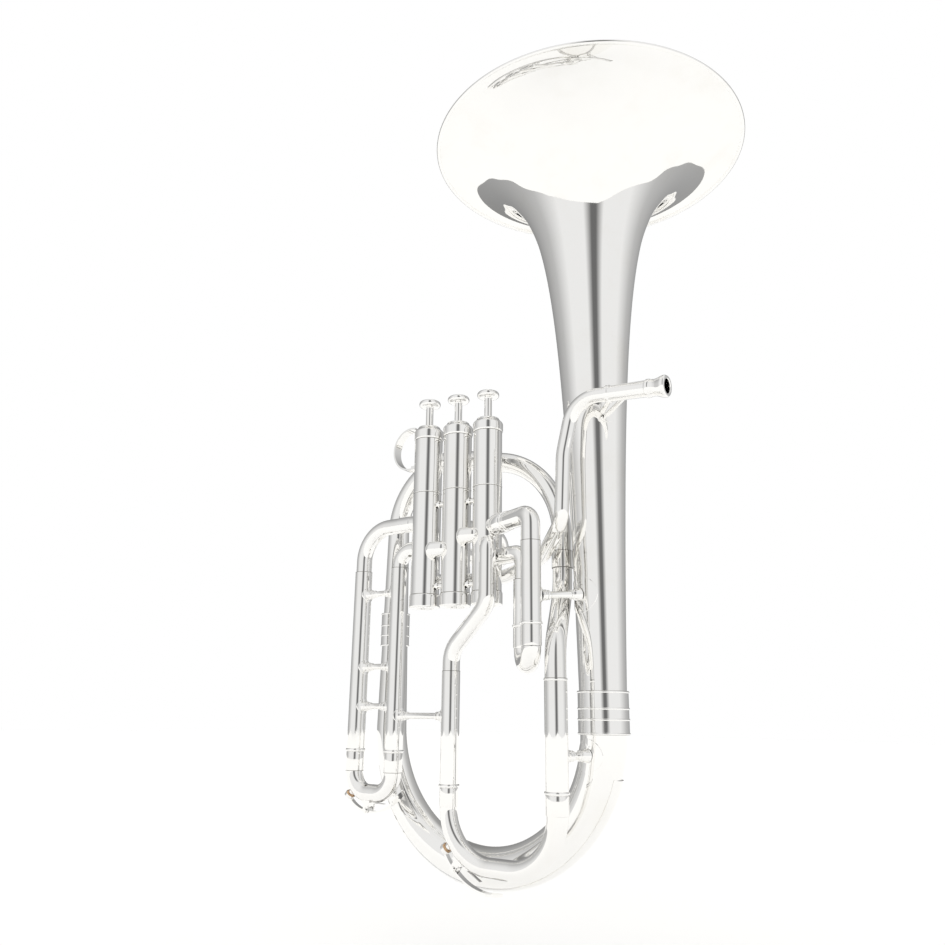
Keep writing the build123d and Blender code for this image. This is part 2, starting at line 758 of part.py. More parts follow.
def second_slide_tubes():
    """Two short stubs on the back of the second casing."""
    tubes = None
    for z in SECOND_PORT_Z:
        stub = pipe(
            (SECOND_X, VALVE_Y[1], z), (SECOND_X, SECOND_END_Y, z), SECOND_LEG_R, SECOND_LEG_R - 0.8
        )
        lip = pipe(
            (SECOND_X, SECOND_END_Y - 2, z), (SECOND_X, SECOND_END_Y, z),
            SECOND_LEG_R + 0.8, SECOND_LEG_R - 0.8,
        )
        piece = (stub + lip) - valve_core(1)
        tubes = piece if tubes is None else tubes + piece
    return tubes


def second_slide():
    """Short slide of the second valve, pulled out to the back."""
    inner = SECOND_LEG_R - 0.8 - FIT
    high, low = SECOND_PORT_Z
    bow_r = (high - low) / 2
    y_stop = SECOND_END_Y + 0.4
    bow_y = y_stop + 9 + bow_r
    path = bent_wire(
        [
            (SECOND_X, y_stop, high), (SECOND_X, bow_y, high),
            (SECOND_X, bow_y, low), (SECOND_X, y_stop, low),
        ],
        [bow_r, bow_r],
    )
    slide = rod(path, 6.0)
    bore = rod(path, inner - 0.8)
    for z in SECOND_PORT_Z:
        slide = slide + bar((SECOND_X, y_stop, z), (SECOND_X, y_stop + 8, z), 6.5)
        slide = slide + bar((SECOND_X, -16, z), (SECOND_X, y_stop + 2, z), inner)
        bore = bore + bar((SECOND_X, -17, z), (SECOND_X, y_stop + 1, z), inner - 0.8)
    return slide - bore


# ---------------------------------------------------------------- main tuning slide
def tuning_left_tube():
    """Elbow on the front of valve one, S-bend and the left outer leg."""
    x = TUNING_X[0]
    path = bent_wire(
        [
            (VALVE_X[0], VALVE_Y[0], ELBOW_Z),
            (ELBOW_X, ELBOW_Y, ELBOW_Z),
            (ELBOW_X, ELBOW_Y, -417),
            (x, TUNING_Y, -452),
            (x, TUNING_Y, -468.2),
        ],
        [8.0, 22.0, 22.0],
    )
    pipe_part = tube(path, 6.95, 0.8)
    leg = ringed_leg(x, TUNING_Y, -468, TUNING_END_Z, TUNING_LEG_R[0], TUNING_WALL)
    return (pipe_part + leg) - valve_core(0)


def tuning_right_leg():
    """Right outer leg of the main tuning slide, under the S-bend of the branch."""
    leg = ringed_leg(
        TUNING_X[1], TUNING_Y, -475, TUNING_END_Z, TUNING_LEG_R[1], TUNING_WALL
    )
    return leg + upright(TUNING_X[1], TUNING_Y, -475, -477, TUNING_LEG_R[1] + 0.35, 7.7)


def main_tuning_slide():
    """Wide bow with two inner legs of different size."""
    inner = (TUNING_LEG_R[0] - TUNING_WALL - FIT, TUNING_LEG_R[1] - TUNING_WALL - FIT)
    legs = ((TUNING_X[0], TUNING_Y), (TUNING_X[1], TUNING_Y))
    return u_slide(
        legs, TUNING_END_Z - 0.4, TUNING_BOW_Z, TUNING_BOW_R,
        inner, (6.75, 7.95), (7.3, 8.5), -484.0,
    )


# ---------------------------------------------------------------- braces
def slide_braces():
    """Turned posts that tie the slide legs, the bell and the bow together."""
    posts = []
    left, right = THIRD_X
    for z in (-398.0, -462.0, -495.5):
        a = (left, THIRD_Y, z)
        b = (right, THIRD_Y, z)
        post = brace(a, b, leg_pair(left, THIRD_Y, z, LEG_R), leg_pair(right, THIRD_Y, z, LEG_R))
        for distance in (12.0, right - left - 12.0):
            post = post + collar_at(a, b, distance, 3.4, 1.8)
        posts.append(post)
    a = (right, THIRD_Y, -503.0)
    b = (TUNING_X[0], TUNING_Y, -503.0)
    post = brace(
        a, b, leg_pair(right, THIRD_Y, -503, LEG_R),
        leg_pair(TUNING_X[0], TUNING_Y, -503, TUNING_LEG_R[0]),
    )
    span = math.dist(a, b)
    for distance in (12.0, 15.5, span - 15.0, span - 11.5):
        post = post + collar_at(a, b, distance, 3.3, 1.6)
    posts.append(post)
    return Compound(children=posts)


def bell_braces():
    """Posts from the first slide to the bell and from the tuning slide to the bow."""
    x, y = FIRST_LEGS[0]
    a = (x, y, -414.0)
    b = (0, 0, -408.0)
    bell_pair = (bell_core(SEAT, -385, -434), bell_core(0.6, -385, -434))
    leg = leg_pair(x, y, -414, FIRST_LEG_R)
    upper = brace(a, b, leg, bell_pair, 2.3, 15.0)
    for distance in (11.6, 15.0, math.dist(a, b) - 28.5, math.dist(a, b) - 25.0):
        upper = upper + collar_at(a, b, distance, 3.7, 1.6)
    x = TUNING_X[1]
    a = (x, TUNING_Y, -530.0)
    b = (-2, 0, -530.0)
    bow_pair = (bottom_bow_solid(SEAT), bottom_bow_solid(0.7))
    lower = brace(a, b, leg_pair(x, TUNING_Y, -530, TUNING_LEG_R[1]), bow_pair, 2.3, 12.0)
    for distance in (12.5, 15.5, 22.0, 25.0):
        lower = lower + collar_at(a, b, distance, 3.6, 1.5)
    return [upper, lower]


# ---------------------------------------------------------------- water keys
class WaterKey:
    """Places of one water key around a bow: angles in degrees about a centre in the XZ plane."""

    def __init__(self, y, centre, tube_out, pivot_r, angles, tip_r):
        self.y = y
        self.centre = centre
        self.tube_out = tube_out
        self.pivot_r = pivot_r
        self.pad_angle, self.pivot_angle, self.tip_angle = angles
        self.tip_r = tip_r

    def at(self, radius, angle, dy=0.0):
        a = math.radians(angle)
        return (
            self.centre[0] + radius * math.cos(a),
            self.y + dy,
            self.centre[1] + radius * math.sin(a),
        )


MAIN_KEY = WaterKey(
    TUNING_Y, (TUNING_X[0] + TUNING_BOW_R, TUNING_BOW_Z + TUNING_BOW_R),
    TUNING_BOW_R + 7.1, TUNING_BOW_R + 13.6, (216.0, 233.5, 273.0), TUNING_BOW_R + 17.5,
)
THIRD_KEY_R = 26.0
THIRD_KEY = WaterKey(
    THIRD_Y, (-200.5, THIRD_BOW_Z + THIRD_KEY_R),
    THIRD_KEY_R + 7.2, THIRD_KEY_R + 13.4, (229.0, 266.0, 318.0), THIRD_KEY_R + 14.5,
)


def key_lever(key):
    """Bent lever: cup over the water hole, hub on the pin and a flat finger touch."""
    hub = bar(key.at(key.pivot_r, key.pivot_angle, -2.6), key.at(key.pivot_r, key.pivot_angle, 2.6), 2.6)
    cup_seat = key.at(key.tube_out + 3.2, key.pad_angle)
    cup_back = key.at(key.tube_out + 6.2, key.pad_angle)
    cup = bar(cup_seat, cup_back, 4.4) - bar(cup_seat, key.at(key.tube_out + 4.8, key.pad_angle), 3.75)
    middle = (key.pad_angle + key.pivot_angle) / 2
    arm_in = Wire(
        [
            ThreePointArc(
                key.at(key.tube_out + 5.6, key.pad_angle),
                key.at((key.tube_out + 5.6 + key.pivot_r + 1.0) / 2 + 0.5, middle),
                key.at(key.pivot_r + 1.0, key.pivot_angle),
            )
        ]
    )
    middle = (key.tip_angle + key.pivot_angle) / 2
    arm_out = Wire(
        [
            ThreePointArc(
                key.at(key.pivot_r + 1.0, key.pivot_angle),
                key.at((key.pivot_r + 1.0 + key.tip_r) / 2 + 0.6, middle),
                key.at(key.tip_r, key.tip_angle),
            )
        ]
    )
    arms = []
    for wire, width in ((arm_in, 4.0), (arm_out, 5.0)):
        plane = Plane(origin=wire @ 0, x_dir=(0, 1, 0), z_dir=wire % 0)
        arms.append(sweep(plane * Rectangle(width, 1.5), path=wire))
    tip = Vector(*key.at(key.tip_r, key.tip_angle))
    touch_plane = Plane(origin=tip, x_dir=(0, 1, 0), z_dir=key_outward(key, key.tip_angle))
    touch = touch_plane.offset(-0.75) * extrude(Ellipse(4.6, 7.5), amount=1.5)
    lever = hub + cup + arms[0] + arms[1] + touch
    bore_a = key.at(key.pivot_r, key.pivot_angle, -6)
    bore_b = key.at(key.pivot_r, key.pivot_angle, 6)
    return lever - bar(bore_a, bore_b, 1.1 + FIT)


def key_outward(key, angle):
    a = math.radians(angle)
    return (math.cos(a), 0, math.sin(a))


def key_cork(key):
    """Cork pressed into the cup of the lever."""
    return bar(
        key.at(key.tube_out + 2.25, key.pad_angle), key.at(key.tube_out + 4.75, key.pad_angle), 3.7
    )


def key_saddle(key, bow):
    """Two ears on a foot, and the nipple that the cork closes."""
    pivot = key.at(key.pivot_r, key.pivot_angle)
    ears = None
    for side in (-1, 1):
        inner = side * 2.9
        outer = side * 4.4
        eye = bar(
            key.at(key.pivot_r, key.pivot_angle, inner), key.at(key.pivot_r, key.pivot_angle, outer), 2.6
        )
        ear_mid = (inner + outer) / 2
        ear_plane = Plane(
            origin=key.at(key.tube_out - 2.5, key.pivot_angle, ear_mid),
            x_dir=(0, 1, 0),
            z_dir=key_outward(key, key.pivot_angle),
        )
        height = key.pivot_r - key.tube_out + 2.5
        ear = ear_plane * Box(1.5, 5.2, height, align=(Align.CENTER, Align.CENTER, Align.MIN))
        piece = eye + ear
        ears = piece if ears is None else ears + piece
    foot_plane = Plane(
        origin=key.at(key.tube_out - 3.0, key.pivot_angle),
        x_dir=(0, 1, 0),
        z_dir=key_outward(key, key.pivot_angle),
    )
    foot = foot_plane * Box(9.6, 9.0, 3.9, align=(Align.CENTER, Align.CENTER, Align.MIN))
    nipple = bar(
        key.at(key.tube_out - 3, key.pad_angle), key.at(key.tube_out + 2.2, key.pad_angle), 2.9
    )
    saddle = (ears + foot) - bow
    saddle = saddle - bar(
        key.at(key.pivot_r, key.pivot_angle, -6), key.at(key.pivot_r, key.pivot_angle, 6), 1.1 + 0.01
    )
    nipple = nipple - bow
    nipple = nipple - bar(
        key.at(key.tube_out - 3, key.pad_angle), key.at(key.tube_out + 3, key.pad_angle), 1.6
    )
    return Compound(children=[saddle, nipple])


def key_pin(key):
    """Pivot screw with a small head."""
    pin = bar(
        key.at(key.pivot_r, key.pivot_angle, -4.9), key.at(key.pivot_r, key.pivot_angle, 4.9), 1.1
    )
    head = bar(
        key.at(key.pivot_r, key.pivot_angle, -5.6), key.at(key.pivot_r, key.pivot_angle, -4.45), 2.0
    )
    return pin + head


def key_spring(key):
    """Flat return spring from the foot to the underside of the finger end."""
    angle_a = key.pivot_angle + 8 + 200 / key.pivot_r
    angle_b = angle_a + 15
    wire = Wire(
        [
            ThreePointArc(
                key.at(key.tube_out + 1.05, angle_a),
                key.at(key.tube_out + 1.8, (angle_a + angle_b) / 2),
                key.at(key.tube_out + 3.6, angle_b),
            )
        ]
    )
    plane = Plane(origin=wire @ 0, x_dir=(0, 1, 0), z_dir=wire % 0)
    return sweep(plane * Rectangle(3.0, 0.5), path=wire)


def bow_core(legs, z_stop, z_bow, bow_r, tube_r):
    """Filled bow of a slide, a touch larger than the bow itself."""
    (xa, ya), (xb, yb) = legs
    path = bent_wire(
        [(xa, ya, z_stop), (xa, ya, z_bow), (xb, yb, z_bow), (xb, yb, z_stop)], [bow_r, bow_r]
    )
    return taper_core(path, tube_r[0] + SEAT, tube_r[1] + SEAT, 25)


def build():
    """Every sub-part by the name of its node."""
    parts = {
        "bell": bell(),
        "bell_rim_wire": bell_rim_wire(),
        "bell_garland": bell_garland(),
        "bottom_bow": bottom_bow(),
        "bow_guard": bow_guard(),
        "left_branch": left_branch(),
        "top_bow": top_bow(),
        "right_branch": right_branch(),
        "branch_ferrules": branch_ferrules(),
        "leadpipe": leadpipe(),
        "mouthpiece_receiver": mouthpiece_receiver(),
        "casing_studs": casing_studs(),
        "valve_knuckles": Compound(children=[knuckle(0), knuckle(1)]),
        "valve_guides": valve_guides(),
        "finger_ring": finger_ring(),
        "third_slide_tubes": third_slide_tubes(),
        "third_slide": third_slide(),
        "first_slide_tubes": first_slide_tubes(),
        "first_slide": first_slide(),
        "second_slide_tubes": second_slide_tubes(),
        "second_slide": second_slide(),
        "tuning_left_tube": tuning_left_tube(),
        "tuning_right_leg": tuning_right_leg(),
        "main_tuning_slide": main_tuning_slide(),
        "slide_braces": slide_braces(),
        "bell_braces": Compound(children=bell_braces() + receiver_feet()),
    }
    for index in range(3):
        number = str(index + 1)
        parts["valve_casing_" + number] = valve_casing(index)
        parts["top_cap_" + number] = top_cap(index)
        parts["bottom_cap_" + number] = bottom_cap(index)
        parts["piston_" + number] = piston(index)
        parts["valve_stem_" + number] = valve_stem(index)
        parts["finger_button_" + number] = finger_button(index)
        parts["stem_felts_" + number] = stem_felts(index)
        parts["valve_spring_" + number] = valve_spring(index)
    main_bow = bow_core(
        ((TUNING_X[0], TUNING_Y), (TUNING_X[1], TUNING_Y)),
        TUNING_END_Z - 0.4, TUNING_BOW_Z, TUNING_BOW_R, (6.75, 7.95),
    )
    third_bow = bow_core(
        ((THIRD_X[0], THIRD_Y), (THIRD_X[1], THIRD_Y)),
        THIRD_END_Z - 0.4, THIRD_BOW_Z, THIRD_BOW_R, (7.2, 7.2),
    )
    for name, key, bow in (("main", MAIN_KEY, main_bow), ("third", THIRD_KEY, third_bow)):
        parts["water_key_lever_" + name] = key_lever(key)
        parts["water_key_cork_" + name] = key_cork(key)
        parts["water_key_saddle_" + name] = key_saddle(key, bow)
        parts["water_key_pin_" + name] = key_pin(key)
        parts["water_key_spring_" + name] = key_spring(key)
    return parts


os.makedirs("parts", exist_ok=True)
for node, shape in build().items():
    export_step(shape, "parts/" + node + ".step")
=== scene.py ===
import math

import bmesh
import bpy
import numpy as np
from mathutils import Matrix, Vector


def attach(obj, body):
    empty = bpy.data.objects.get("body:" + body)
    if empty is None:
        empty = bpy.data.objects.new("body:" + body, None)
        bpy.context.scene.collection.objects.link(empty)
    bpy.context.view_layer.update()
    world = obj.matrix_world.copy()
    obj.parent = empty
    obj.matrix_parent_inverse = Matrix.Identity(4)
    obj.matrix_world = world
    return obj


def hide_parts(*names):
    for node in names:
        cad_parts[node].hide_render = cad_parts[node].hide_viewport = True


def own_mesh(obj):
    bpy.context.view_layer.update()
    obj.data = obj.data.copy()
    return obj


# A silver-plated upright euphonium. Lengths below are millimetres in the frame of the CAD
# model: origin at the middle of the bell mouth, +Z out of the bell, X along the valve row.

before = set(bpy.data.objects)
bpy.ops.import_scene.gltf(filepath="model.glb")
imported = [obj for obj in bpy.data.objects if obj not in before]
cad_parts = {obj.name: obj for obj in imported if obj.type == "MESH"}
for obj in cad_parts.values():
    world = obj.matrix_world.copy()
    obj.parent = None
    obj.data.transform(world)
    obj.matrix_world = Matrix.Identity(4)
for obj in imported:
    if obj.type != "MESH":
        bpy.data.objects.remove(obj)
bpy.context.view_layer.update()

MM = 0.001
HORN = "horn"

# ---------------------------------------------------------------- camera and view
CAMERA_PLACE = (321.8, -605.3, -503.5)
VIEW_HEADING = 36.64           # degrees from +Y towards -X
VIEW_RISE = 16.06              # degrees above level
VIEW_ROLL = 0.76
LENS = 32.38
SENSOR = 36.0


def heading_vector(heading, rise):
    """Unit vector for a heading from +Y towards -X, raised above level."""
    h = math.radians(heading)
    e = math.radians(rise)
    return Vector((-math.sin(h) * math.cos(e), math.cos(h) * math.cos(e), math.sin(e)))


def add_camera():
    """Camera low in front of the right side, looking up at the valves."""
    ahead = heading_vector(VIEW_HEADING, VIEW_RISE)
    level_right = ahead.cross(Vector((0, 0, 1))).normalized()
    level_up = level_right.cross(ahead)
    roll = math.radians(VIEW_ROLL)
    right = level_right * math.cos(roll) + level_up * math.sin(roll)
    up = level_up * math.cos(roll) - level_right * math.sin(roll)
    data = bpy.data.cameras.new("camera")
    data.lens = LENS
    data.sensor_width = SENSOR
    data.clip_start = 0.01
    data.clip_end = 50
    camera = bpy.data.objects.new("camera", data)
    rotation = Matrix((right, up, -ahead)).transposed().to_4x4()
    camera.matrix_world = Matrix.Translation(Vector(CAMERA_PLACE) * MM) @ rotation
    bpy.context.collection.objects.link(camera)
    bpy.context.scene.camera = camera


# ---------------------------------------------------------------- node helpers
class Nodes:
    """Short names for building a node tree."""

    def __init__(self, tree):
        self.tree = tree
        tree.nodes.clear()

    def add(self, kind, **settings):
        node = self.tree.nodes.new(kind)
        for key, value in settings.items():
            setattr(node, key, value)
        return node

    def link(self, source, target):
        self.tree.links.new(source, target)

    def math(self, operation, a, b=None, c=None):
        node = self.add("ShaderNodeMath", operation=operation)
        for i, value in enumerate((a, b, c)):
            if value is None:
                continue
            if isinstance(value, (int, float)):
                node.inputs[i].default_value = value
            else:
                self.link(value, node.inputs[i])
        return node.outputs[0]

    def smooth(self, value, low, high):
        node = self.add("ShaderNodeMapRange", interpolation_type="SMOOTHSTEP")
        self.link(value, node.inputs["Value"])
        node.inputs["From Min"].default_value = low
        node.inputs["From Max"].default_value = high
        return node.outputs["Result"]

    def mix(self, factor, a, b):
        node = self.add("ShaderNodeMix", data_type="RGBA")
        self.link(factor, node.inputs["Factor"])
        colours = [s for s in node.inputs if s.type == "RGBA"]
        for socket, value in zip(colours, (a, b)):
            if isinstance(value, (list, tuple)):
                socket.default_value = (*value, 1)
            else:
                self.link(value, socket)
        return [s for s in node.outputs if s.type == "RGBA"][0]

    def ramp(self, value, stops):
        node = self.add("ShaderNodeValToRGB")
        node.color_ramp.interpolation = "LINEAR"
        elements = node.color_ramp.elements
        while len(elements) > 1:
            elements.remove(elements[-1])
        for i, (place, colour) in enumerate(stops):
            element = elements[0] if i == 0 else elements.new(place)
            element.position = place
            element.color = (*colour, 1)
        self.link(value, node.inputs[0])
        return node.outputs[0]

    def noise(self, vector, scale, detail=4.0, rough=0.5):
        node = self.add("ShaderNodeTexNoise")
        self.link(vector, node.inputs["Vector"])
        node.inputs["Scale"].default_value = scale
        node.inputs["Detail"].default_value = detail
        node.inputs["Roughness"].default_value = rough
        return node.outputs["Fac"]


# ---------------------------------------------------------------- studio light
# Plain studio, as the plating sees it: a broad soft box on each side of the camera with a
# darker gap between them, and a dimmer wall behind the horn. Each pair is a bearing in
# degrees, 0 towards the camera and plus to its right, and the brightness there.
SOFT_BOXES = (
    (-180, 0.25), (-110, 0.5), (-70, 0.85), (-20, 0.85), (-5, 0.15), (5, 0.15),
    (20, 0.85), (70, 0.85), (110, 0.5), (180, 0.25),
)
OVERHEAD = 0.8
OVERHEAD_FROM = 45.0           # degrees above level where the overhead light begins
OVERHEAD_FULL = 80.0
EVEN_LIGHT = 1.25              # lights the floor, felt and cork
EVEN_COLOUR = (1, 0.995, 0.985, 1)
FLOOR_Z = -705.0
FLOOR_HALF = 9000.0
FLOOR_DARK = (0.83, 0.83, 0.825)
FLOOR_LIGHT = (0.85, 0.85, 0.848)


def box_ramp(n, turn):
    """Brightness around the studio."""
    return n.ramp(turn, [((bearing + 180) / 360, (v, v, v)) for bearing, v in SOFT_BOXES])


def add_world():
    """Soft boxes for the plating, an even light for the rest and plain white for the camera."""
    world = bpy.data.worlds.new("studio")
    bpy.context.scene.world = world
    world.use_nodes = True
    n = Nodes(world.node_tree)
    coordinates = n.add("ShaderNodeTexCoord")
    split = n.add("ShaderNodeSeparateXYZ")
    n.link(coordinates.outputs["Generated"], split.inputs[0])
    x, y, z = split.outputs
    h = math.radians(VIEW_HEADING)
    ahead_x, ahead_y = -math.sin(h), math.cos(h)
    to_right = n.math("MULTIPLY_ADD", x, ahead_y, n.math("MULTIPLY", y, -ahead_x))
    to_camera = n.math("MULTIPLY_ADD", x, -ahead_x, n.math("MULTIPLY", y, -ahead_y))
    bearing = n.math("MULTIPLY", n.math("ARCTAN2", to_right, to_camera), 180 / math.pi)
    turn = n.math("MULTIPLY_ADD", bearing, 1 / 360, 0.5)
    rise = n.math("MULTIPLY", n.math("ARCSINE", z), 180 / math.pi)
    colour = box_ramp(n, turn)
    colour = n.mix(n.smooth(rise, OVERHEAD_FROM, OVERHEAD_FULL), colour, (OVERHEAD, OVERHEAD, OVERHEAD))
    room = n.add("ShaderNodeBackground")
    n.link(colour, room.inputs["Color"])
    room.inputs["Strength"].default_value = 1.0
    plain = n.add("ShaderNodeBackground")
    plain.inputs["Color"].default_value = (1, 1, 1, 1)
    plain.inputs["Strength"].default_value = 1.0
    soft = n.add("ShaderNodeBackground")
    soft.inputs["Color"].default_value = EVEN_COLOUR
    soft.inputs["Strength"].default_value = EVEN_LIGHT
    path = n.add("ShaderNodeLightPath")
    unseen = n.add("ShaderNodeMixShader")
    n.link(path.outputs["Is Glossy Ray"], unseen.inputs[0])
    n.link(soft.outputs[0], unseen.inputs[1])
    n.link(room.outputs[0], unseen.inputs[2])
    mix = n.add("ShaderNodeMixShader")
    n.link(path.outputs["Is Camera Ray"], mix.inputs[0])
    n.link(unseen.outputs[0], mix.inputs[1])
    n.link(plain.outputs[0], mix.inputs[2])
    out = n.add("ShaderNodeOutputWorld")
    n.link(mix.outputs[0], out.inputs[0])
    bpy.context.scene.view_settings.view_transform = "Standard"
    bpy.context.scene.view_settings.look = "None"


def add_stage():
    """Plain pale floor, faintly cloudy."""
    near, far = -FLOOR_HALF, FLOOR_HALF
    corners = [(near, near), (far, near), (far, far), (near, far)]
    mesh = bpy.data.meshes.new("floor")
    mesh.from_pydata([Vector((x, y, FLOOR_Z)) * MM for x, y in corners], [], [(0, 1, 2, 3)])
    floor = bpy.data.objects.new("floor", mesh)
    bpy.context.collection.objects.link(floor)
    white = bpy.data.materials.new("floor_paint")
    white.use_nodes = True
    n = Nodes(white.node_tree)
    place = n.add("ShaderNodeTexCoord").outputs["Object"]
    paint = n.add("ShaderNodeBsdfDiffuse")
    cloudy = n.noise(place, 3.0)
    n.link(n.mix(cloudy, FLOOR_DARK, FLOOR_LIGHT), paint.inputs["Color"])
    out = n.add("ShaderNodeOutputMaterial")
    n.link(paint.outputs[0], out.inputs["Surface"])
    floor.data.materials.append(white)


# ---------------------------------------------------------------- materials
def surface(name):
    """A new material: its nodes, its main shader and the coordinates on the object."""
    material = bpy.data.materials.new(name)
    material.use_nodes = True
    n = Nodes(material.node_tree)
    shader = n.add("ShaderNodeBsdfPrincipled")
    out = n.add("ShaderNodeOutputMaterial")
    n.link(shader.outputs[0], out.inputs["Surface"])
    place = n.add("ShaderNodeTexCoord").outputs["Object"]
    return material, n, shader, place


def bump(n, shader, height, distance):
    """Raises the surface by up to a distance, in metres."""
    node = n.add("ShaderNodeBump")
    node.inputs["Strength"].default_value = 1.0
    node.inputs["Distance"].default_value = distance
    n.link(height, node.inputs["Height"])
    n.link(node.outputs[0], shader.inputs["Normal"])


def polished(name, clean, worn, rough, wave):
    """Polished metal: soft wiping marks, a trace of tarnish and a slightly uneven surface."""
    material, n, shader, place = surface(name)
    shader.inputs["Metallic"].default_value = 1.0
    wiped = n.noise(place, 22.0, 5.0, 0.62)
    fine = n.noise(place, 520.0, 3.0, 0.6)
    patches = n.smooth(wiped, 0.46, 0.78)
    n.link(n.mix(patches, clean, worn), shader.inputs["Base Color"])
    spread = n.math("MULTIPLY_ADD", patches, rough[1] - rough[0], rough[0])
    n.link(n.math("MULTIPLY_ADD", fine, rough[0] * 0.6, spread), shader.inputs["Roughness"])
    uneven = n.math("MULTIPLY_ADD", fine, 0.03, n.noise(place, 34.0, 2.0, 0.4))
    bump(n, shader, uneven, wave)
    return material


def soft_material(name, dark, light, scale, rough, height):
    """Felt or cork: two mottled colours and a grain."""
    material, n, shader, place = surface(name)
    grain = n.noise(place, scale, 6.0, 0.7)
    cells = n.add("ShaderNodeTexVoronoi")
    n.link(place, cells.inputs["Vector"])
    cells.inputs["Scale"].default_value = scale * 0.7
    mottled = n.math("MULTIPLY_ADD", cells.outputs["Distance"], 0.5, n.math("MULTIPLY", grain, 0.7))
    n.link(n.mix(n.smooth(mottled, 0.2, 0.9), dark, light), shader.inputs["Base Color"])
    shader.inputs["Roughness"].default_value = rough
    bump(n, shader, mottled, height)
    return material


def make_materials():
    """One finish for each material slot of the record."""
    return {
        "silver_plate": polished(
            "silver_plate", (0.972, 0.966, 0.95), (0.945, 0.932, 0.9), (0.018, 0.05), 7e-6),
        "silver_slide": polished(
            "silver_slide", (0.968, 0.96, 0.942), (0.938, 0.922, 0.888), (0.03, 0.075), 5e-6),
        "piston_metal": polished(
            "piston_metal", (0.72, 0.71, 0.69), (0.6, 0.59, 0.57), (0.12, 0.24), 4e-6),
        "guide_brass": polished(
            "guide_brass", (0.83, 0.62, 0.3), (0.66, 0.45, 0.2), (0.16, 0.34), 6e-6),
        "spring_steel": polished(
            "spring_steel", (0.6, 0.59, 0.58), (0.42, 0.41, 0.4), (0.18, 0.36), 3e-6),
        "seam": polished(
            "seam", (0.2, 0.19, 0.16), (0.09, 0.08, 0.07), (0.3, 0.5), 4e-6),
        "felt": soft_material("felt", (0.02, 0.02, 0.022), (0.075, 0.07, 0.07), 900, 0.95, 3e-4),
        "cork": soft_material("cork", (0.32, 0.18, 0.09), (0.66, 0.45, 0.27), 520, 0.85, 2e-4),
    }


# ---------------------------------------------------------------- mesh helpers
def unit(v):
    return v / np.linalg.norm(v)


def square_to(direction):
    """Two unit vectors square to a direction and to each other."""
    side = np.array((1.0, 0, 0)) if abs(direction[0]) < 0.8 else np.array((0, 1.0, 0))
    first = unit(np.cross(direction, side))
    return first, np.cross(direction, first)


def skin(rows, around=True, along=False):
    """Vertices and faces over rows of points, closed around and, if asked, along."""
    verts = [tuple(p) for row in rows for p in row]
    width = len(rows[0])
    faces = []
    last = len(rows) if along else len(rows) - 1
    for i in range(last):
        j = (i + 1) % len(rows)
        for k in range(width if around else width - 1):
            m = (k + 1) % width
            faces.append((i * width + k, i * width + m, j * width + m, j * width + k))
    return verts, faces


def lathe(outline, start, end, segments=64):
    """Turns a closed outline of (distance, radius) about the line from start to end."""
    a = np.array(start, float)
    direction = unit(np.array(end, float) - a)
    u, v = square_to(direction)
    rows = []
    for distance, radius in outline:
        centre = a + direction * distance
        rows.append([
            centre + radius * (math.cos(t) * u + math.sin(t) * v)
            for t in np.linspace(0, 2 * math.pi, segments, endpoint=False)
        ])
    return skin(rows, along=True)


def turned(outline, x, y, segments=64):
    """Turns a closed outline of (radius, Z) about an upright axis."""
    return lathe([(z, r) for r, z in outline], (x, y, 0), (x, y, 1), segments)


def eased(outline, radius=0.35):
    """A closed outline with its corners rounded off."""
    out = []
    count = len(outline)
    for i in range(count):
        here = np.array(outline[i], float)
        back = np.array(outline[i - 1], float) - here
        ahead = np.array(outline[(i + 1) % count], float) - here
        ease = min(radius, 0.45 * np.linalg.norm(back), 0.45 * np.linalg.norm(ahead))
        if ease < 0.01 or min(abs(here)) < 0.001:
            out.append(tuple(here))
            continue
        p = here + unit(back) * ease
        q = here + unit(ahead) * ease
        for t in (0, 0.25, 0.5, 0.75, 1):
            out.append(tuple(p * (1 - t) ** 2 + here * 2 * t * (1 - t) + q * t * t))
    return out


def pipe(x, y, z_top, z_end, outer, inner, segments=64):
    """An upright tube with eased ends."""
    return turned(eased([(outer, z_top), (outer, z_end), (inner, z_end), (inner, z_top)], 0.25),
                  x, y, segments)


def bent(points, radii, step=1.2):
    """Points along a line whose corners are rounded to tangent arcs."""
    corners = [np.array(p, float) for p in points]
    out = [corners[0]]
    for i in range(1, len(corners) - 1):
        back = unit(corners[i - 1] - corners[i])
        ahead = unit(corners[i + 1] - corners[i])
        half = math.acos(max(-1, min(1, float(back @ ahead)))) / 2
        radius = radii[i - 1]
        centre = corners[i] + unit(back + ahead) * radius / math.sin(half)
        first = corners[i] + back * radius / math.tan(half)
        across = unit(first - centre)
        sweep_angle = math.pi - 2 * half
        count = max(6, int(radius * sweep_angle / step))
        for k in range(count + 1):
            t = sweep_angle * k / count
            out.append(centre + radius * (math.cos(t) * across - math.sin(t) * back))
    out.append(corners[-1])
    path = [out[0]]
    for p in out[1:]:
        gap = np.linalg.norm(p - path[-1])
        if gap < 0.02:
            continue
        pieces = max(1, int(gap / 6))
        start = path[-1]
        path.extend(start + (p - start) * k / pieces for k in range(1, pieces + 1))
    return path


def lengths(path):
    """Distance along a path at each of its points, as a share of the whole."""
    steps = [0.0] + [float(np.linalg.norm(b - a)) for a, b in zip(path, path[1:])]
    run = np.cumsum(steps)
    return run / run[-1]


def to_casing(ring, direction, axis):
    """Slides the points of an end ring along the tube until they meet a casing wall."""
    out = []
    d = np.array(direction[:2], float)
    for p in ring:
        e = p[:2] - np.array(axis)
        a = d @ d
        b = 2 * (e @ d)
        c = e @ e - CASING_WALL * CASING_WALL
        t = (-b - math.sqrt(max(b * b - 4 * a * c, 0))) / (2 * a)
        out.append(p + t * direction)
    return out


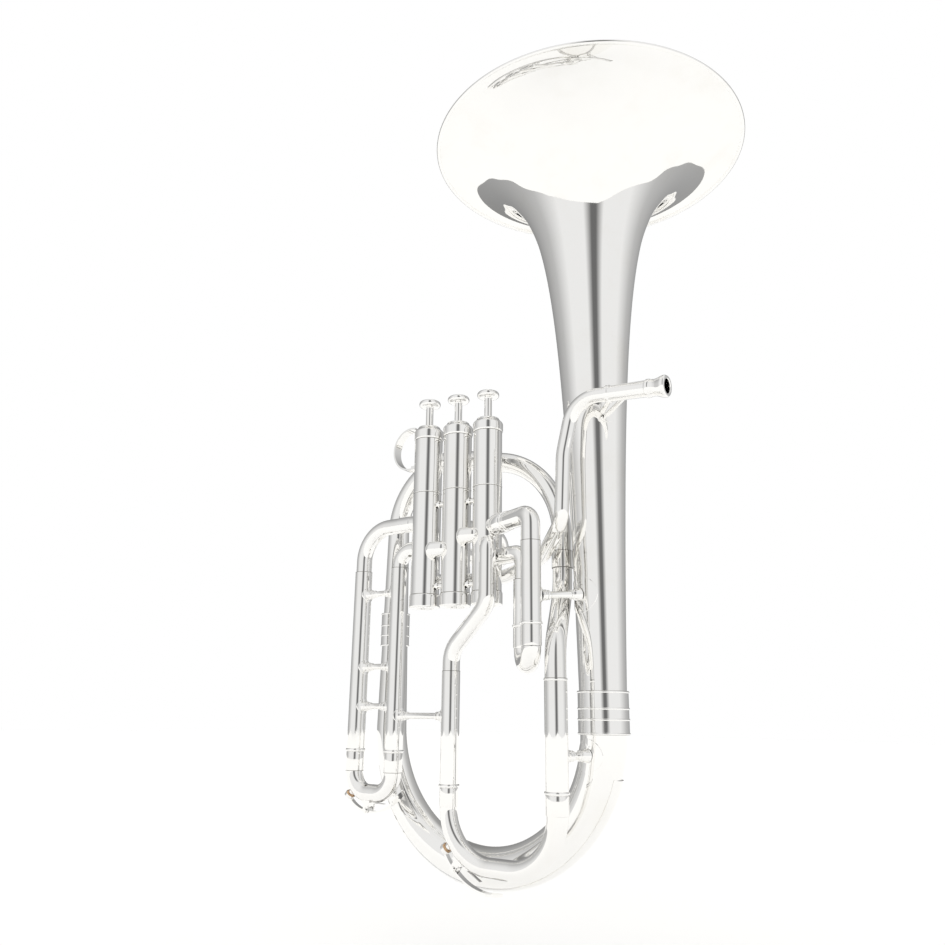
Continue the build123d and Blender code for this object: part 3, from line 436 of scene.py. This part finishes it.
def swept(path, radii, segments=40, start_casing=None, end_casing=None):
    """A round bar along a path. An end may be cut to the wall of a valve casing."""
    path = [np.array(p, float) for p in path]
    if start_casing:
        while math.dist(path[1][:2], start_casing) < 14.6:
            path.pop(0)
    if end_casing:
        while math.dist(path[-2][:2], end_casing) < 14.6:
            path.pop()
    count = len(path)
    if not hasattr(radii, "__len__"):
        radii = [radii] * count
    tangents = []
    for i in range(count):
        tangents.append(unit(path[min(i + 1, count - 1)] - path[max(i - 1, 0)]))
    u = square_to(tangents[0])[0]
    rows = []
    for p, t, radius in zip(path, tangents, radii):
        u = unit(u - t * (u @ t))
        v = np.cross(t, u)
        rows.append([
            p + radius * (math.cos(w) * u + math.sin(w) * v)
            for w in np.linspace(0, 2 * math.pi, segments, endpoint=False)
        ])
    if start_casing:
        rows[0] = to_casing(rows[0], -tangents[0], start_casing)
    if end_casing:
        rows[-1] = to_casing(rows[-1], tangents[-1], end_casing)
    verts, faces = skin(rows)
    width = len(rows[0])
    for row in (0, len(rows) - 1):
        centre = np.mean([verts[row * width + k] for k in range(width)], axis=0)
        verts.append(tuple(centre))
        hub = len(verts) - 1
        faces.extend((hub, row * width + (k + 1) % width, row * width + k) for k in range(width))
    return verts, faces


def flowing(points, count):
    """A smooth curve through points: a natural cubic by distance along them."""
    p = np.array(points, float)
    s = np.concatenate([[0], np.cumsum(np.linalg.norm(np.diff(p, axis=0), axis=1))])
    size = len(p)
    h = np.diff(s)
    matrix = np.eye(size)
    right = np.zeros((size, 2))
    for i in range(1, size - 1):
        matrix[i, i - 1], matrix[i, i], matrix[i, i + 1] = h[i - 1], 2 * (h[i - 1] + h[i]), h[i]
        right[i] = 6 * ((p[i + 1] - p[i]) / h[i] - (p[i] - p[i - 1]) / h[i - 1])
    m = np.linalg.solve(matrix, right)
    out = []
    for t in np.linspace(0, s[-1], count):
        i = min(max(int(np.searchsorted(s, t)) - 1, 0), size - 2)
        a, b = s[i + 1] - t, t - s[i]
        value = (m[i] * a ** 3 + m[i + 1] * b ** 3) / (6 * h[i])
        value = value + (p[i] / h[i] - m[i] * h[i] / 6) * a
        out.append(value + (p[i + 1] / h[i] - m[i + 1] * h[i] / 6) * b)
    return out


def piece(name, shells, body, slot, nodes):
    """One object from several closed skins. It stands for its CAD nodes."""
    verts, faces = [], []
    for shell_verts, shell_faces in shells:
        start = len(verts)
        verts.extend(Vector(v) * MM for v in shell_verts)
        faces.extend(tuple(i + start for i in face) for face in shell_faces)
    mesh = bpy.data.meshes.new(name)
    mesh.from_pydata(verts, [], faces)
    work = bmesh.new()
    work.from_mesh(mesh)
    bmesh.ops.remove_doubles(work, verts=work.verts, dist=1e-7)
    bmesh.ops.recalc_face_normals(work, faces=work.faces)
    work.to_mesh(mesh)
    work.free()
    for face in mesh.polygons:
        face.use_smooth = True
    mesh.set_sharp_from_angle(angle=math.radians(32))
    mesh.materials.append(FINISH[slot])
    thing = bpy.data.objects.new(name, mesh)
    bpy.context.collection.objects.link(thing)
    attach(thing, body)
    if nodes:
        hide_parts(*nodes)
    return thing


def loose_piece(name, shells, body, slot):
    """A fine detail that stands for no CAD node."""
    return piece(name, shells, body, slot, [])


# ---------------------------------------------------------------- sizes of the horn
BELL_R = 138.6
BRIM = (                       # radius and depth down the outside, from the edge
    (138.6, 0), (134, 0.4), (130, 0.9), (125, 2.0), (120, 3.7), (114, 6.3), (108, 9.4),
    (101, 13.5), (94, 18.2), (86, 24.7), (78, 32.3), (69, 43.1), (60, 56.6), (51.6, 75.1),
    (45.28, 95),
)
FLARE_LENGTH = 18.0            # how the bell narrows below the brim
FLARE_POWER = -0.609
BELL_END = 496.5
BOW_R = 108.0
BOW_TOP_Z = -511.0
LEFT_X = -216.0
RIGHT_X = -34.3
CREST_LEFT = (LEFT_X + 62.0, -333.0, 62.0)
CREST_RIGHT = (RIGHT_X - 75.0, -356.0, 75.0)
VALVES = ((-86.2, -35.0), (-115.0, -40.2), (-143.8, -45.4))
SPRING_TOP = -272.05           # under the roof of the barrel
SPRING_END = -296.95           # on the guide
SPRING_R = 5.2
SPRING_WIRE = 0.44
SPRING_TURNS = 7
CASING_WALL = 11.9             # tubes end inside the casing wall
THIRD_X = (-221.5, -177.5)
THIRD_Y = -40.0
TUNING_X = (-110.0, -12.3)
TUNING_Y = -50.0
FIRST_LEGS = ((-27.0, -60.0), (-45.0, -43.0))


# ---------------------------------------------------------------- bell and bows
def bell_radius(depth):
    """Outside radius of the bell below its brim."""
    return BELL_R * (1 + depth / FLARE_LENGTH) ** FLARE_POWER


def add_bell():
    """Flared bell, its rolled edge and the garland at its foot."""
    outer = [(r, -d) for r, d in BRIM]
    start = BRIM[-1][1]
    for i in range(1, 13):
        depth = start + (BELL_END - start) * (i / 12) ** 1.7
        outer.append((bell_radius(depth), -depth))
    curve = flowing(outer, 220)
    inside = []
    for i, p in enumerate(curve):
        run = unit(curve[min(i + 1, 219)] - curve[max(i - 1, 0)])
        inside.append(p + np.array((run[1], -run[0])))
    inside[0] = np.array((BELL_R - 0.1, 1.0))
    inside[-1] = np.array((curve[-1][0] - 1.0, -BELL_END))
    piece("bell_fine", [turned(list(curve) + inside[::-1], 0, 0, 288)],
          HORN, "silver_plate", ["bell"])
    bead = [(BELL_R - 0.25 + 1.68 * math.cos(t), -0.15 + 1.68 * math.sin(t))
            for t in np.linspace(0, 2 * math.pi, 28, endpoint=False)]
    piece("bell_rim_fine", [turned(bead, 0, 0, 288)], HORN, "silver_plate", ["bell_rim_wire"])
    sleeve = ringed(-483.0, -515.0, 19.5, (-483.7, -496.0, -504.0, -514.3), 0.55, 0.8)
    piece("garland_fine", [turned(sleeve + [(18.0, -515.0), (18.0, -483.0)], 0, 0, 96)],
          HORN, "silver_plate", ["bell_garland"])


def ringed(z_top, z_end, radius, lines, height, half):
    """The outside of a sleeve with raised half-round lines, as (radius, Z)."""
    out = [(radius, z_top)]
    for z in lines:
        for t in np.linspace(0, math.pi, 9):
            out.append((radius + height * math.sin(t), z + half * math.cos(t)))
    out.append((radius, z_end))
    return [(r, min(max(z, z_end), z_top)) for r, z in out]


def bow_line():
    """Middle line of the bottom bow, from the bell to its left end, and its radii."""
    path = [np.array((0, 0, -BELL_END - 0.2)), np.array((0, 0, -504.0))]
    for t in np.linspace(0, math.pi, 150):
        path.append(np.array((-BOW_R + BOW_R * math.cos(t), 0, BOW_TOP_Z - BOW_R * math.sin(t))))
    radii = [18.2 - 5.0 * t for t in lengths(path)]
    return path, radii


def add_bows():
    """Bottom bow with its guard, left branch, top bow, right branch and their ferrules."""
    path, radii = bow_line()
    left = [np.array((LEFT_X, 0, z)) for z in np.linspace(-511, -426.1, 12)]
    narrow = [13.2 - 1.7 * t for t in lengths(left)]
    piece("bottom_bow_fine", [swept(path + left[1:], radii + narrow[1:], 72)],
          HORN, "silver_plate", ["bottom_bow"])

    rows = []
    for p, radius in zip(path, radii):
        if p[2] > -542.2:
            continue
        out = unit(p - np.array((-BOW_R, 0, BOW_TOP_Z)))
        row = []
        reach = math.asin(7.5 / (radius + 1.1))
        section = [(radius + 0.04, -reach), (radius + 0.75, -reach)]
        section += [(radius + 1.08, w) for w in np.linspace(-reach + 0.03, reach - 0.03, 15)]
        section += [(radius + 0.75, reach), (radius + 0.04, reach)]
        section += [(radius + 0.04, w) for w in np.linspace(reach - 0.05, -reach + 0.05, 9)]
        for r, w in section:
            row.append(p + r * (math.cos(w) * out + math.sin(w) * np.array((0, 1.0, 0))))
        rows.append(row)
    verts, faces = skin(rows)
    width = len(rows[0])
    faces.append(tuple(range(width)))
    faces.append(tuple(reversed(range((len(rows) - 1) * width, len(rows) * width))))
    piece("bow_guard_fine", [(verts, faces)], HORN, "silver_plate", ["bow_guard"])

    branch = [np.array((LEFT_X, 0, z)) for z in np.linspace(-425.9, -333, 10)]
    piece("left_branch_fine", [swept(branch, [11.5 - 1.7 * t for t in lengths(branch)], 64)],
          HORN, "silver_plate", ["left_branch"])
    sleeve = ringed(-411.0, -441.0, 13.0, (-411.7, -422.5, -431.5, -440.3), 0.4, 0.7)
    sleeve = turned(sleeve + [(11.0, -441.0), (11.0, -411.0)], LEFT_X, 0, 80)
    piece("branch_ferrules_fine", [sleeve, pipe(RIGHT_X, 0, -370, -384, 8.7, 7.6)],
          HORN, "silver_plate", ["branch_ferrules"])

    (lx, lz, lr), (rx, rz, rr) = CREST_LEFT, CREST_RIGHT
    touch = math.atan2(rz - lz, rx - lx) + math.acos((lr - rr) / math.hypot(rx - lx, rz - lz))
    crest = [(lx + lr * math.cos(t), 0, lz + lr * math.sin(t))
             for t in np.linspace(math.pi, touch, 60)]
    crest += [(rx + rr * math.cos(t), 0, rz + rr * math.sin(t)) for t in np.linspace(touch, 0, 70)]
    crest = [np.array(p) for p in crest]
    radii = [9.8 - 1.9 * t for t in lengths(crest)]
    tail = [np.array((RIGHT_X, 0, z)) for z in (-362, -369, -376.9)]
    piece("top_bow_fine", [swept(crest + tail, radii + [7.9] * 3, 56)],
          HORN, "silver_plate", ["top_bow"])
    branch = bent([(RIGHT_X, 0, -377.1), (RIGHT_X, 0, -402), (TUNING_X[1], TUNING_Y, -452),
                   (TUNING_X[1], TUNING_Y, -474.8)], [36, 36])
    piece("right_branch_fine", [swept(branch, 8.0, 56)], HORN, "silver_plate", ["right_branch"])


# ---------------------------------------------------------------- leadpipe and receiver
RECEIVER_START = np.array((33.0, -40.5, -257.6))
RECEIVER_END = np.array((83.5, -40.5, -262.3))


def add_leadpipe():
    """Pipe from the receiver to the back of the third valve, and the receiver."""
    along = unit(RECEIVER_END - RECEIVER_START)
    x, y = VALVES[2]
    path = bent([RECEIVER_START - along * 0.1, RECEIVER_START - along * 30, (-8, -40.5, -300),
                 (-11.5, -39, -354), (-45, -14, -376.5), (-82, -13.5, -389), (x, -13.5, -389),
                 (x, y + 4, -389)], [24, 60, 18, 28, 40, 9])
    piece("leadpipe_fine", [swept(path, 5.8, 48, end_casing=VALVES[2])],
          HORN, "silver_plate", ["leadpipe"])
    length = math.dist(RECEIVER_START, RECEIVER_END)
    outline = eased([
        (0, 7.0), (2.2, 7.0), (2.6, 6.3), (length - 17, 6.5), (length - 16.6, 7.3),
        (length - 14.4, 7.3), (length - 13.6, 6.8), (length - 10.5, 6.5), (length - 8, 6.9),
        (length - 5, 8.0), (length - 3.2, 8.6), (length - 1.2, 8.6), (length, 7.8),
        (length, 5.62), (length - 16, 5.62), (length - 16, 4.9), (0, 4.9),
    ], 0.8)
    piece("receiver_fine", [lathe(outline, RECEIVER_START, RECEIVER_END, 72)],
          HORN, "silver_plate", ["mouthpiece_receiver"])


# ---------------------------------------------------------------- valves
def add_valves():
    """Casings, caps, stems and finger buttons."""
    for i, (x, y) in enumerate(VALVES):
        number = str(i + 1)
        outline = [(12.0, -259.5), (12.0, -265.5), (12.35, -265.5), (12.35, -313.6)]
        outline += [(12.35 + 0.25 * math.sin(t), -314.4 + 0.6 * math.cos(t))
                    for t in np.linspace(0, math.pi, 7)]
        outline += [(12.35, -315.2), (12.35, -404.0), (12.0, -404.0), (12.0, -407.0),
                    (11.2, -407.0), (11.2, -259.5)]
        piece("casing_fine_" + number, [turned(outline, x, y, 96)],
              HORN, "silver_plate", ["valve_casing_" + number])
        outline = eased([
            (3.65, -253.1), (9.4, -253.1), (9.8, -253.5), (10.3, -254.7), (11.6, -256.1),
            (12.6, -257.0), (13.1, -258.1), (13.1, -264.3), (12.6, -265.5), (12.03, -265.5),
            (12.03, -259.3), (9.2, -259.3), (9.2, -256.3), (3.65, -256.3),
        ], 0.6)
        piece("top_cap_fine_" + number, [turned(outline, x, y, 96)],
              HORN, "silver_plate", ["top_cap_" + number])
        outline = eased([
            (0, -413.8), (7.5, -413.8), (9.0, -415.4), (12.1, -415.4), (13.1, -414.4),
            (13.1, -405.0), (12.6, -404.0), (12.03, -404.0), (12.03, -407.2), (11.5, -407.2),
            (11.5, -412.8), (0, -412.8),
        ], 0.5)
        piece("bottom_cap_fine_" + number, [turned(outline, x, y, 96)],
              HORN, "silver_plate", ["bottom_cap_" + number])
        valve = "valve_" + number
        outline = eased([
            (0, -228.5), (5.4, -228.3), (7.0, -227.9), (8.5, -228.3), (9.4, -229.3),
            (9.7, -230.4), (9.6, -231.6), (9.0, -232.6), (8.0, -233.2), (6.4, -233.4),
            (0, -233.4),
        ], 0.9)
        piece("button_fine_" + number, [turned(outline, x, y, 80)],
              valve, "silver_plate", ["finger_button_" + number])
        outline = [(0, -233.42), (3.7, -233.42), (3.4, -233.9), (3.28, -234.7), (3.28, -269.97),
                   (2.15, -269.97), (2.15, -273.5), (0, -273.5)]
        piece("stem_fine_" + number, [turned(outline, x, y, 40)],
              valve, "silver_plate", ["valve_stem_" + number])


def capsule(start, end, radius, dome):
    """A bar with a rounded dome at each end."""
    span = math.dist(start, end)
    outline = [(dome - dome * math.cos(t), radius * math.sin(t))
               for t in np.linspace(0, math.pi / 2, 12)]
    outline += [(span - dome + dome * math.sin(t), radius * math.cos(t))
                for t in np.linspace(0, math.pi / 2, 12)]
    return lathe(outline, start, end, 56)


def add_knuckles():
    """The domed pipes between neighbouring casings."""
    shells = []
    for right, z in ((0, -357.6), (1, -367.4)):
        (xa, ya), (xb, yb) = VALVES[right + 1], VALVES[right]
        shells.append(capsule((xa + 8.0, ya - 9.6, z + 0.6), (xb - 1.0, yb - 9.6, z + 0.6), 6.6, 6.2))
        reach = math.dist((xa, ya), (xb, yb))
        gap = [(xa + (xb - xa) * d / reach, ya + (yb - ya) * d / reach - 6.2, z)
               for d in (12.0, reach - 12.0)]
        shells.append(lathe([(0, 0), (0, 5.5), (math.dist(*gap), 5.5), (math.dist(*gap), 0)],
                            gap[0], gap[1], 40))
    piece("knuckles_fine", shells, HORN, "silver_plate", ["valve_knuckles"])


def add_springs():
    """Valve springs: a coil between the guide and the roof of each barrel, riding with its valve."""
    for i, (x, y) in enumerate(VALVES):
        number = str(i + 1)
        coil = []
        for t in np.linspace(0, 1, 36 * SPRING_TURNS):
            w = 2 * math.pi * SPRING_TURNS * t
            rise = SPRING_END + 0.45 + (SPRING_TOP - SPRING_END - 0.9) * t
            coil.append((x + SPRING_R * math.cos(w), y + SPRING_R * math.sin(w), rise))
        spring = piece("spring_fine_" + number, [swept(coil, SPRING_WIRE, 10)],
                       "valve_" + number, "spring_steel", ["valve_spring_" + number])
        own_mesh(spring)


# ---------------------------------------------------------------- valve loops and slides
def outer_leg(x, y, z_top, z_end, outer, wall):
    """Outer slide leg with a rounded bead at its open end."""
    inner = outer - wall
    outline = [(inner, z_top), (outer, z_top), (outer, z_end + 2.4)]
    outline += [(outer + 0.9 * math.sin(t) ** 0.7, z_end + 1.2 + 1.15 * math.cos(t))
                for t in np.linspace(0.12, math.pi - 0.12, 11)]
    outline += [(outer - 0.1, z_end), (inner, z_end)]
    return turned(outline, x, y, 64)


def hanging_slide(legs, z_stop, z_bow, bow_r, inner, tube_r, ferrule, z_top):
    """A pull-out slide: inner legs, ferrules and the bow below them."""
    (xa, ya), (xb, yb) = legs
    z_leg = z_bow + bow_r
    path = bent([(xa, ya, z_leg), (xa, ya, z_bow), (xb, yb, z_bow), (xb, yb, z_leg)],
                [bow_r * 0.9999, bow_r * 0.9999], 0.9)
    shells = [swept(path, [tube_r[0] + (tube_r[1] - tube_r[0]) * t for t in lengths(path)], 48)]
    for (x, y), r_in, r_ferrule in zip(legs, inner, ferrule):
        shells.append(pipe(x, y, z_stop, z_leg, r_ferrule, r_in - 0.9))
        shells.append(pipe(x, y, z_top, z_stop - 2, r_in, r_in - 0.9))
    return shells


def add_slides():
    """The first and third valve loops and the main tuning slide."""
    third, first = VALVES[2], VALVES[0]
    shells = []
    for x, z, radius in ((THIRD_X[0], -338.0, 29.0), (THIRD_X[1], -361.5, 13.5)):
        path = bent([(third[0], THIRD_Y, z), (x, THIRD_Y, z), (x, THIRD_Y, -377.1)], [radius])
        shells.append(swept(path, 6.9, 48, start_casing=third))
        shells.append(outer_leg(x, THIRD_Y, -377.0, -533.0, 7.6, 0.85))
    piece("third_tubes_fine", shells, HORN, "silver_plate", ["third_slide_tubes"])
    legs = ((THIRD_X[0], THIRD_Y), (THIRD_X[1], THIRD_Y))
    shells = hanging_slide(legs, -533.4, -566.3, 17.5, (6.7, 6.7), (7.2, 7.2), (7.75, 7.75), -415.0)
    piece("third_slide_fine", shells, "third_slide_body", "silver_slide", ["third_slide"])

    shells = []
    for (x, y), z, radius in zip(FIRST_LEGS, (-350.0, -376.5), (7.5, 6.8)):
        path = bent([(*first, z), (x, y, z), (x, y, z - 22.1)], [9.2], 0.8)
        shells.append(swept(path, radius, 48, start_casing=first))
        shells.append(outer_leg(x, y, z - 22, -436.0, 7.8, 0.85))
    piece("first_tubes_fine", shells, HORN, "silver_plate", ["first_slide_tubes"])
    (xa, ya), (xb, yb) = FIRST_LEGS
    bow_r = math.hypot(xa - xb, ya - yb) / 2
    shells = hanging_slide(FIRST_LEGS, -436.4, -451.8 - bow_r, bow_r, (6.9, 6.9), (7.4, 7.4),
                           (7.9, 7.9), -402.0)
    piece("first_slide_fine", shells, "first_slide_body", "silver_slide", ["first_slide"])

    path = bent([(*first, -366.0), (-73.7, -51.8, -366.0), (-73.7, -51.8, -417),
                 (TUNING_X[0], TUNING_Y, -452), (TUNING_X[0], TUNING_Y, -468.2)], [8, 22, 22], 0.8)
    shells = [swept(path, 6.95, 48, start_casing=first)]
    shells.append(outer_leg(TUNING_X[0], TUNING_Y, -468.0, -556.0, 7.3, 0.8))
    piece("tuning_left_fine", shells, HORN, "silver_plate", ["tuning_left_tube"])
    collar = ringed(-475.0, -477.0, 8.5, (-476.0,), 0.35, 0.95) + [(7.7, -477.0), (7.7, -475.0)]
    shells = [outer_leg(TUNING_X[1], TUNING_Y, -475.0, -556.0, 8.5, 0.8)]
    shells.append(turned(collar, TUNING_X[1], TUNING_Y))
    piece("tuning_right_fine", shells, HORN, "silver_plate", ["tuning_right_leg"])
    legs = ((TUNING_X[0], TUNING_Y), (TUNING_X[1], TUNING_Y))
    shells = hanging_slide(legs, -556.4, -610.0, 40.0, (6.45, 7.65), (6.75, 7.95), (7.3, 8.5), -484.0)
    piece("main_slide_fine", shells, "main_slide_body", "silver_slide", ["main_tuning_slide"])


# ---------------------------------------------------------------- turned posts and seams
SEAM_DEPTH = 0.5
SEAM_PROUD = 0.05
SEAM_HALF = 0.17
POSTS = (                      # start, end, clear length kept at each end
    ((THIRD_X[0], THIRD_Y, -398.0), (THIRD_X[1], THIRD_Y, -398.0), 7.5, 7.5),
    ((THIRD_X[0], THIRD_Y, -462.0), (THIRD_X[1], THIRD_Y, -462.0), 7.5, 7.5),
    ((THIRD_X[0], THIRD_Y, -495.5), (THIRD_X[1], THIRD_Y, -495.5), 7.5, 7.5),
    ((THIRD_X[1], THIRD_Y, -503.0), (TUNING_X[0], TUNING_Y, -503.0), 7.5, 7.2),
)

BELL_POSTS = (                 # start, end, where the turned work begins and ends
    ((-27.0, -60.0, -414.0), (0.0, 0.0, -408.0), 8.3, 45.2),
    ((TUNING_X[1], TUNING_Y, -530.0), (-2.0, 0.0, -530.0), 9.0, 32.6),
)


def add_posts():
    """Turned beads and cones over the plain posts of the slide braces."""
    shells = []
    for start, end, low, high in POSTS:
        span = math.dist(start, end)
        half = [(low, 4.4), (low + 1.4, 4.1), (low + 2.2, 3.1), (low + 3.2, 2.9)]
        for t in np.linspace(0, math.pi, 7):
            half.append((low + 4.4 - 1.2 * math.cos(t), 2.9 + 1.0 * math.sin(t)))
        half += [(low + 6.2, 2.7), (low + 7.2, 2.7)]
        for t in np.linspace(0, math.pi, 7):
            half.append((low + 8.0 - 0.8 * math.cos(t), 2.7 + 0.6 * math.sin(t)))
        half += [(low + 9.4, 2.45)]
        shift = low - high
        rest = [(span - d + shift, r) for d, r in reversed(half)]
        outline = half + rest + [(span - high, 1.9), (low, 1.9)]
        shells.append(lathe(outline, start, end, 40))
    for start, end, low, high in BELL_POSTS:
        outline = [(low, 5.0), (low + 1.8, 4.6), (low + 3.0, 3.3)]
        outline += bead(low + 4.6, 3.1, 1.2, 1.3) + bead(low + 7.6, 3.0, 0.9, 1.0)
        outline += [(low + 9.4, 2.7), (high - 9.4, 2.7)]
        outline += bead(high - 7.6, 3.1, 1.0, 1.0)
        outline += [(high - 6.2, 3.4), (high - 3.4, 4.6), (high - 1.2, 4.9), (high, 5.4)]
        outline += [(high, 2.0), (low, 2.0)]
        shells.append(lathe(outline, start, end, 48))
    loose_piece("brace_turnings", shells, HORN, "silver_plate")


def bead(middle, radius, height, half):
    """Points over a half-round bead on a post, as (distance, radius)."""
    return [(middle - half * math.cos(t), radius + height * math.sin(t))
            for t in np.linspace(0, math.pi, 8)]


def add_port_ferrules():
    """Ball ferrule and ring where the first loop leaves its valve, and a ring on the third."""
    (vx, vy), (lx, ly) = VALVES[0], FIRST_LEGS[0]
    start, end = (vx, vy, -350.0), (lx, ly, -350.0)
    outline = [(13.5, 7.45)]
    outline += [(21.0 - 7.0 * math.cos(t), 7.45 + 1.5 * math.sin(t))
                for t in np.linspace(0, math.pi, 16)]
    outline += [(28.3, 7.45), (28.6, 8.3), (30.2, 8.3), (30.5, 7.45), (32.6, 7.45)]
    outline += bead(33.6, 7.5, 0.6, 0.8) + [(34.6, 7.0), (13.5, 7.0)]
    shells = [lathe(outline, start, end, 64)]
    left = (THIRD_X[0], THIRD_Y, -338.0)
    ring = [(20.5, 6.8), (20.5, 7.15), (34.0, 7.15), (34.0, 6.8)]
    shells.append(lathe(ring, (VALVES[2][0], THIRD_Y, -338.0), left, 64))
    loose_piece("port_ferrules", shells, HORN, "silver_plate")


def seam_ring(x, y, z, radius):
    """A thin dark band let into a tube, just proud of it."""
    inner, outer = radius - SEAM_DEPTH, radius + SEAM_PROUD
    top, bottom = z + SEAM_HALF, z - SEAM_HALF
    return turned([(inner, top), (outer, top), (outer, bottom), (inner, bottom)], x, y, 72)


def add_seams():
    """Thin dark lines of solder and shadow where tubes are joined."""
    seams = [
        (THIRD_X[0], THIRD_Y, -377.0, 7.6), (THIRD_X[1], THIRD_Y, -377.0, 7.6),
        (FIRST_LEGS[0][0], FIRST_LEGS[0][1], -372.0, 7.8),
        (FIRST_LEGS[1][0], FIRST_LEGS[1][1], -398.5, 7.8),
        (TUNING_X[0], TUNING_Y, -468.0, 7.3), (TUNING_X[1], TUNING_Y, -475.0, 8.5),
        (0, 0, -483.0, 19.5), (0, 0, -515.0, 19.5),
        (RIGHT_X, 0, -370.0, 8.7), (RIGHT_X, 0, -384.0, 8.7),
    ]
    for x, y in VALVES:
        seams += [(x, y, -265.65, 12.35), (x, y, -403.85, 12.35), (x, y, -315.15, 12.35)]
    shells = [seam_ring(*seam) for seam in seams]
    loose_piece("joint_seams", shells, HORN, "seam")
    shells = [seam_ring(x, THIRD_Y, -548.8, 7.75) for x in THIRD_X]
    loose_piece("third_slide_seams", shells, "third_slide_body", "seam")


# ---------------------------------------------------------------- all together
FINISH = make_materials()
add_camera()
add_world()
add_stage()
for cad_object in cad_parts.values():
    for place in cad_object.material_slots:
        kind = place.material.name.split(".")[0]
        place.material = FINISH[kind]
add_bell()
add_bows()
add_leadpipe()
add_valves()
add_knuckles()
add_springs()
add_slides()
add_posts()
add_port_ferrules()
add_seams()
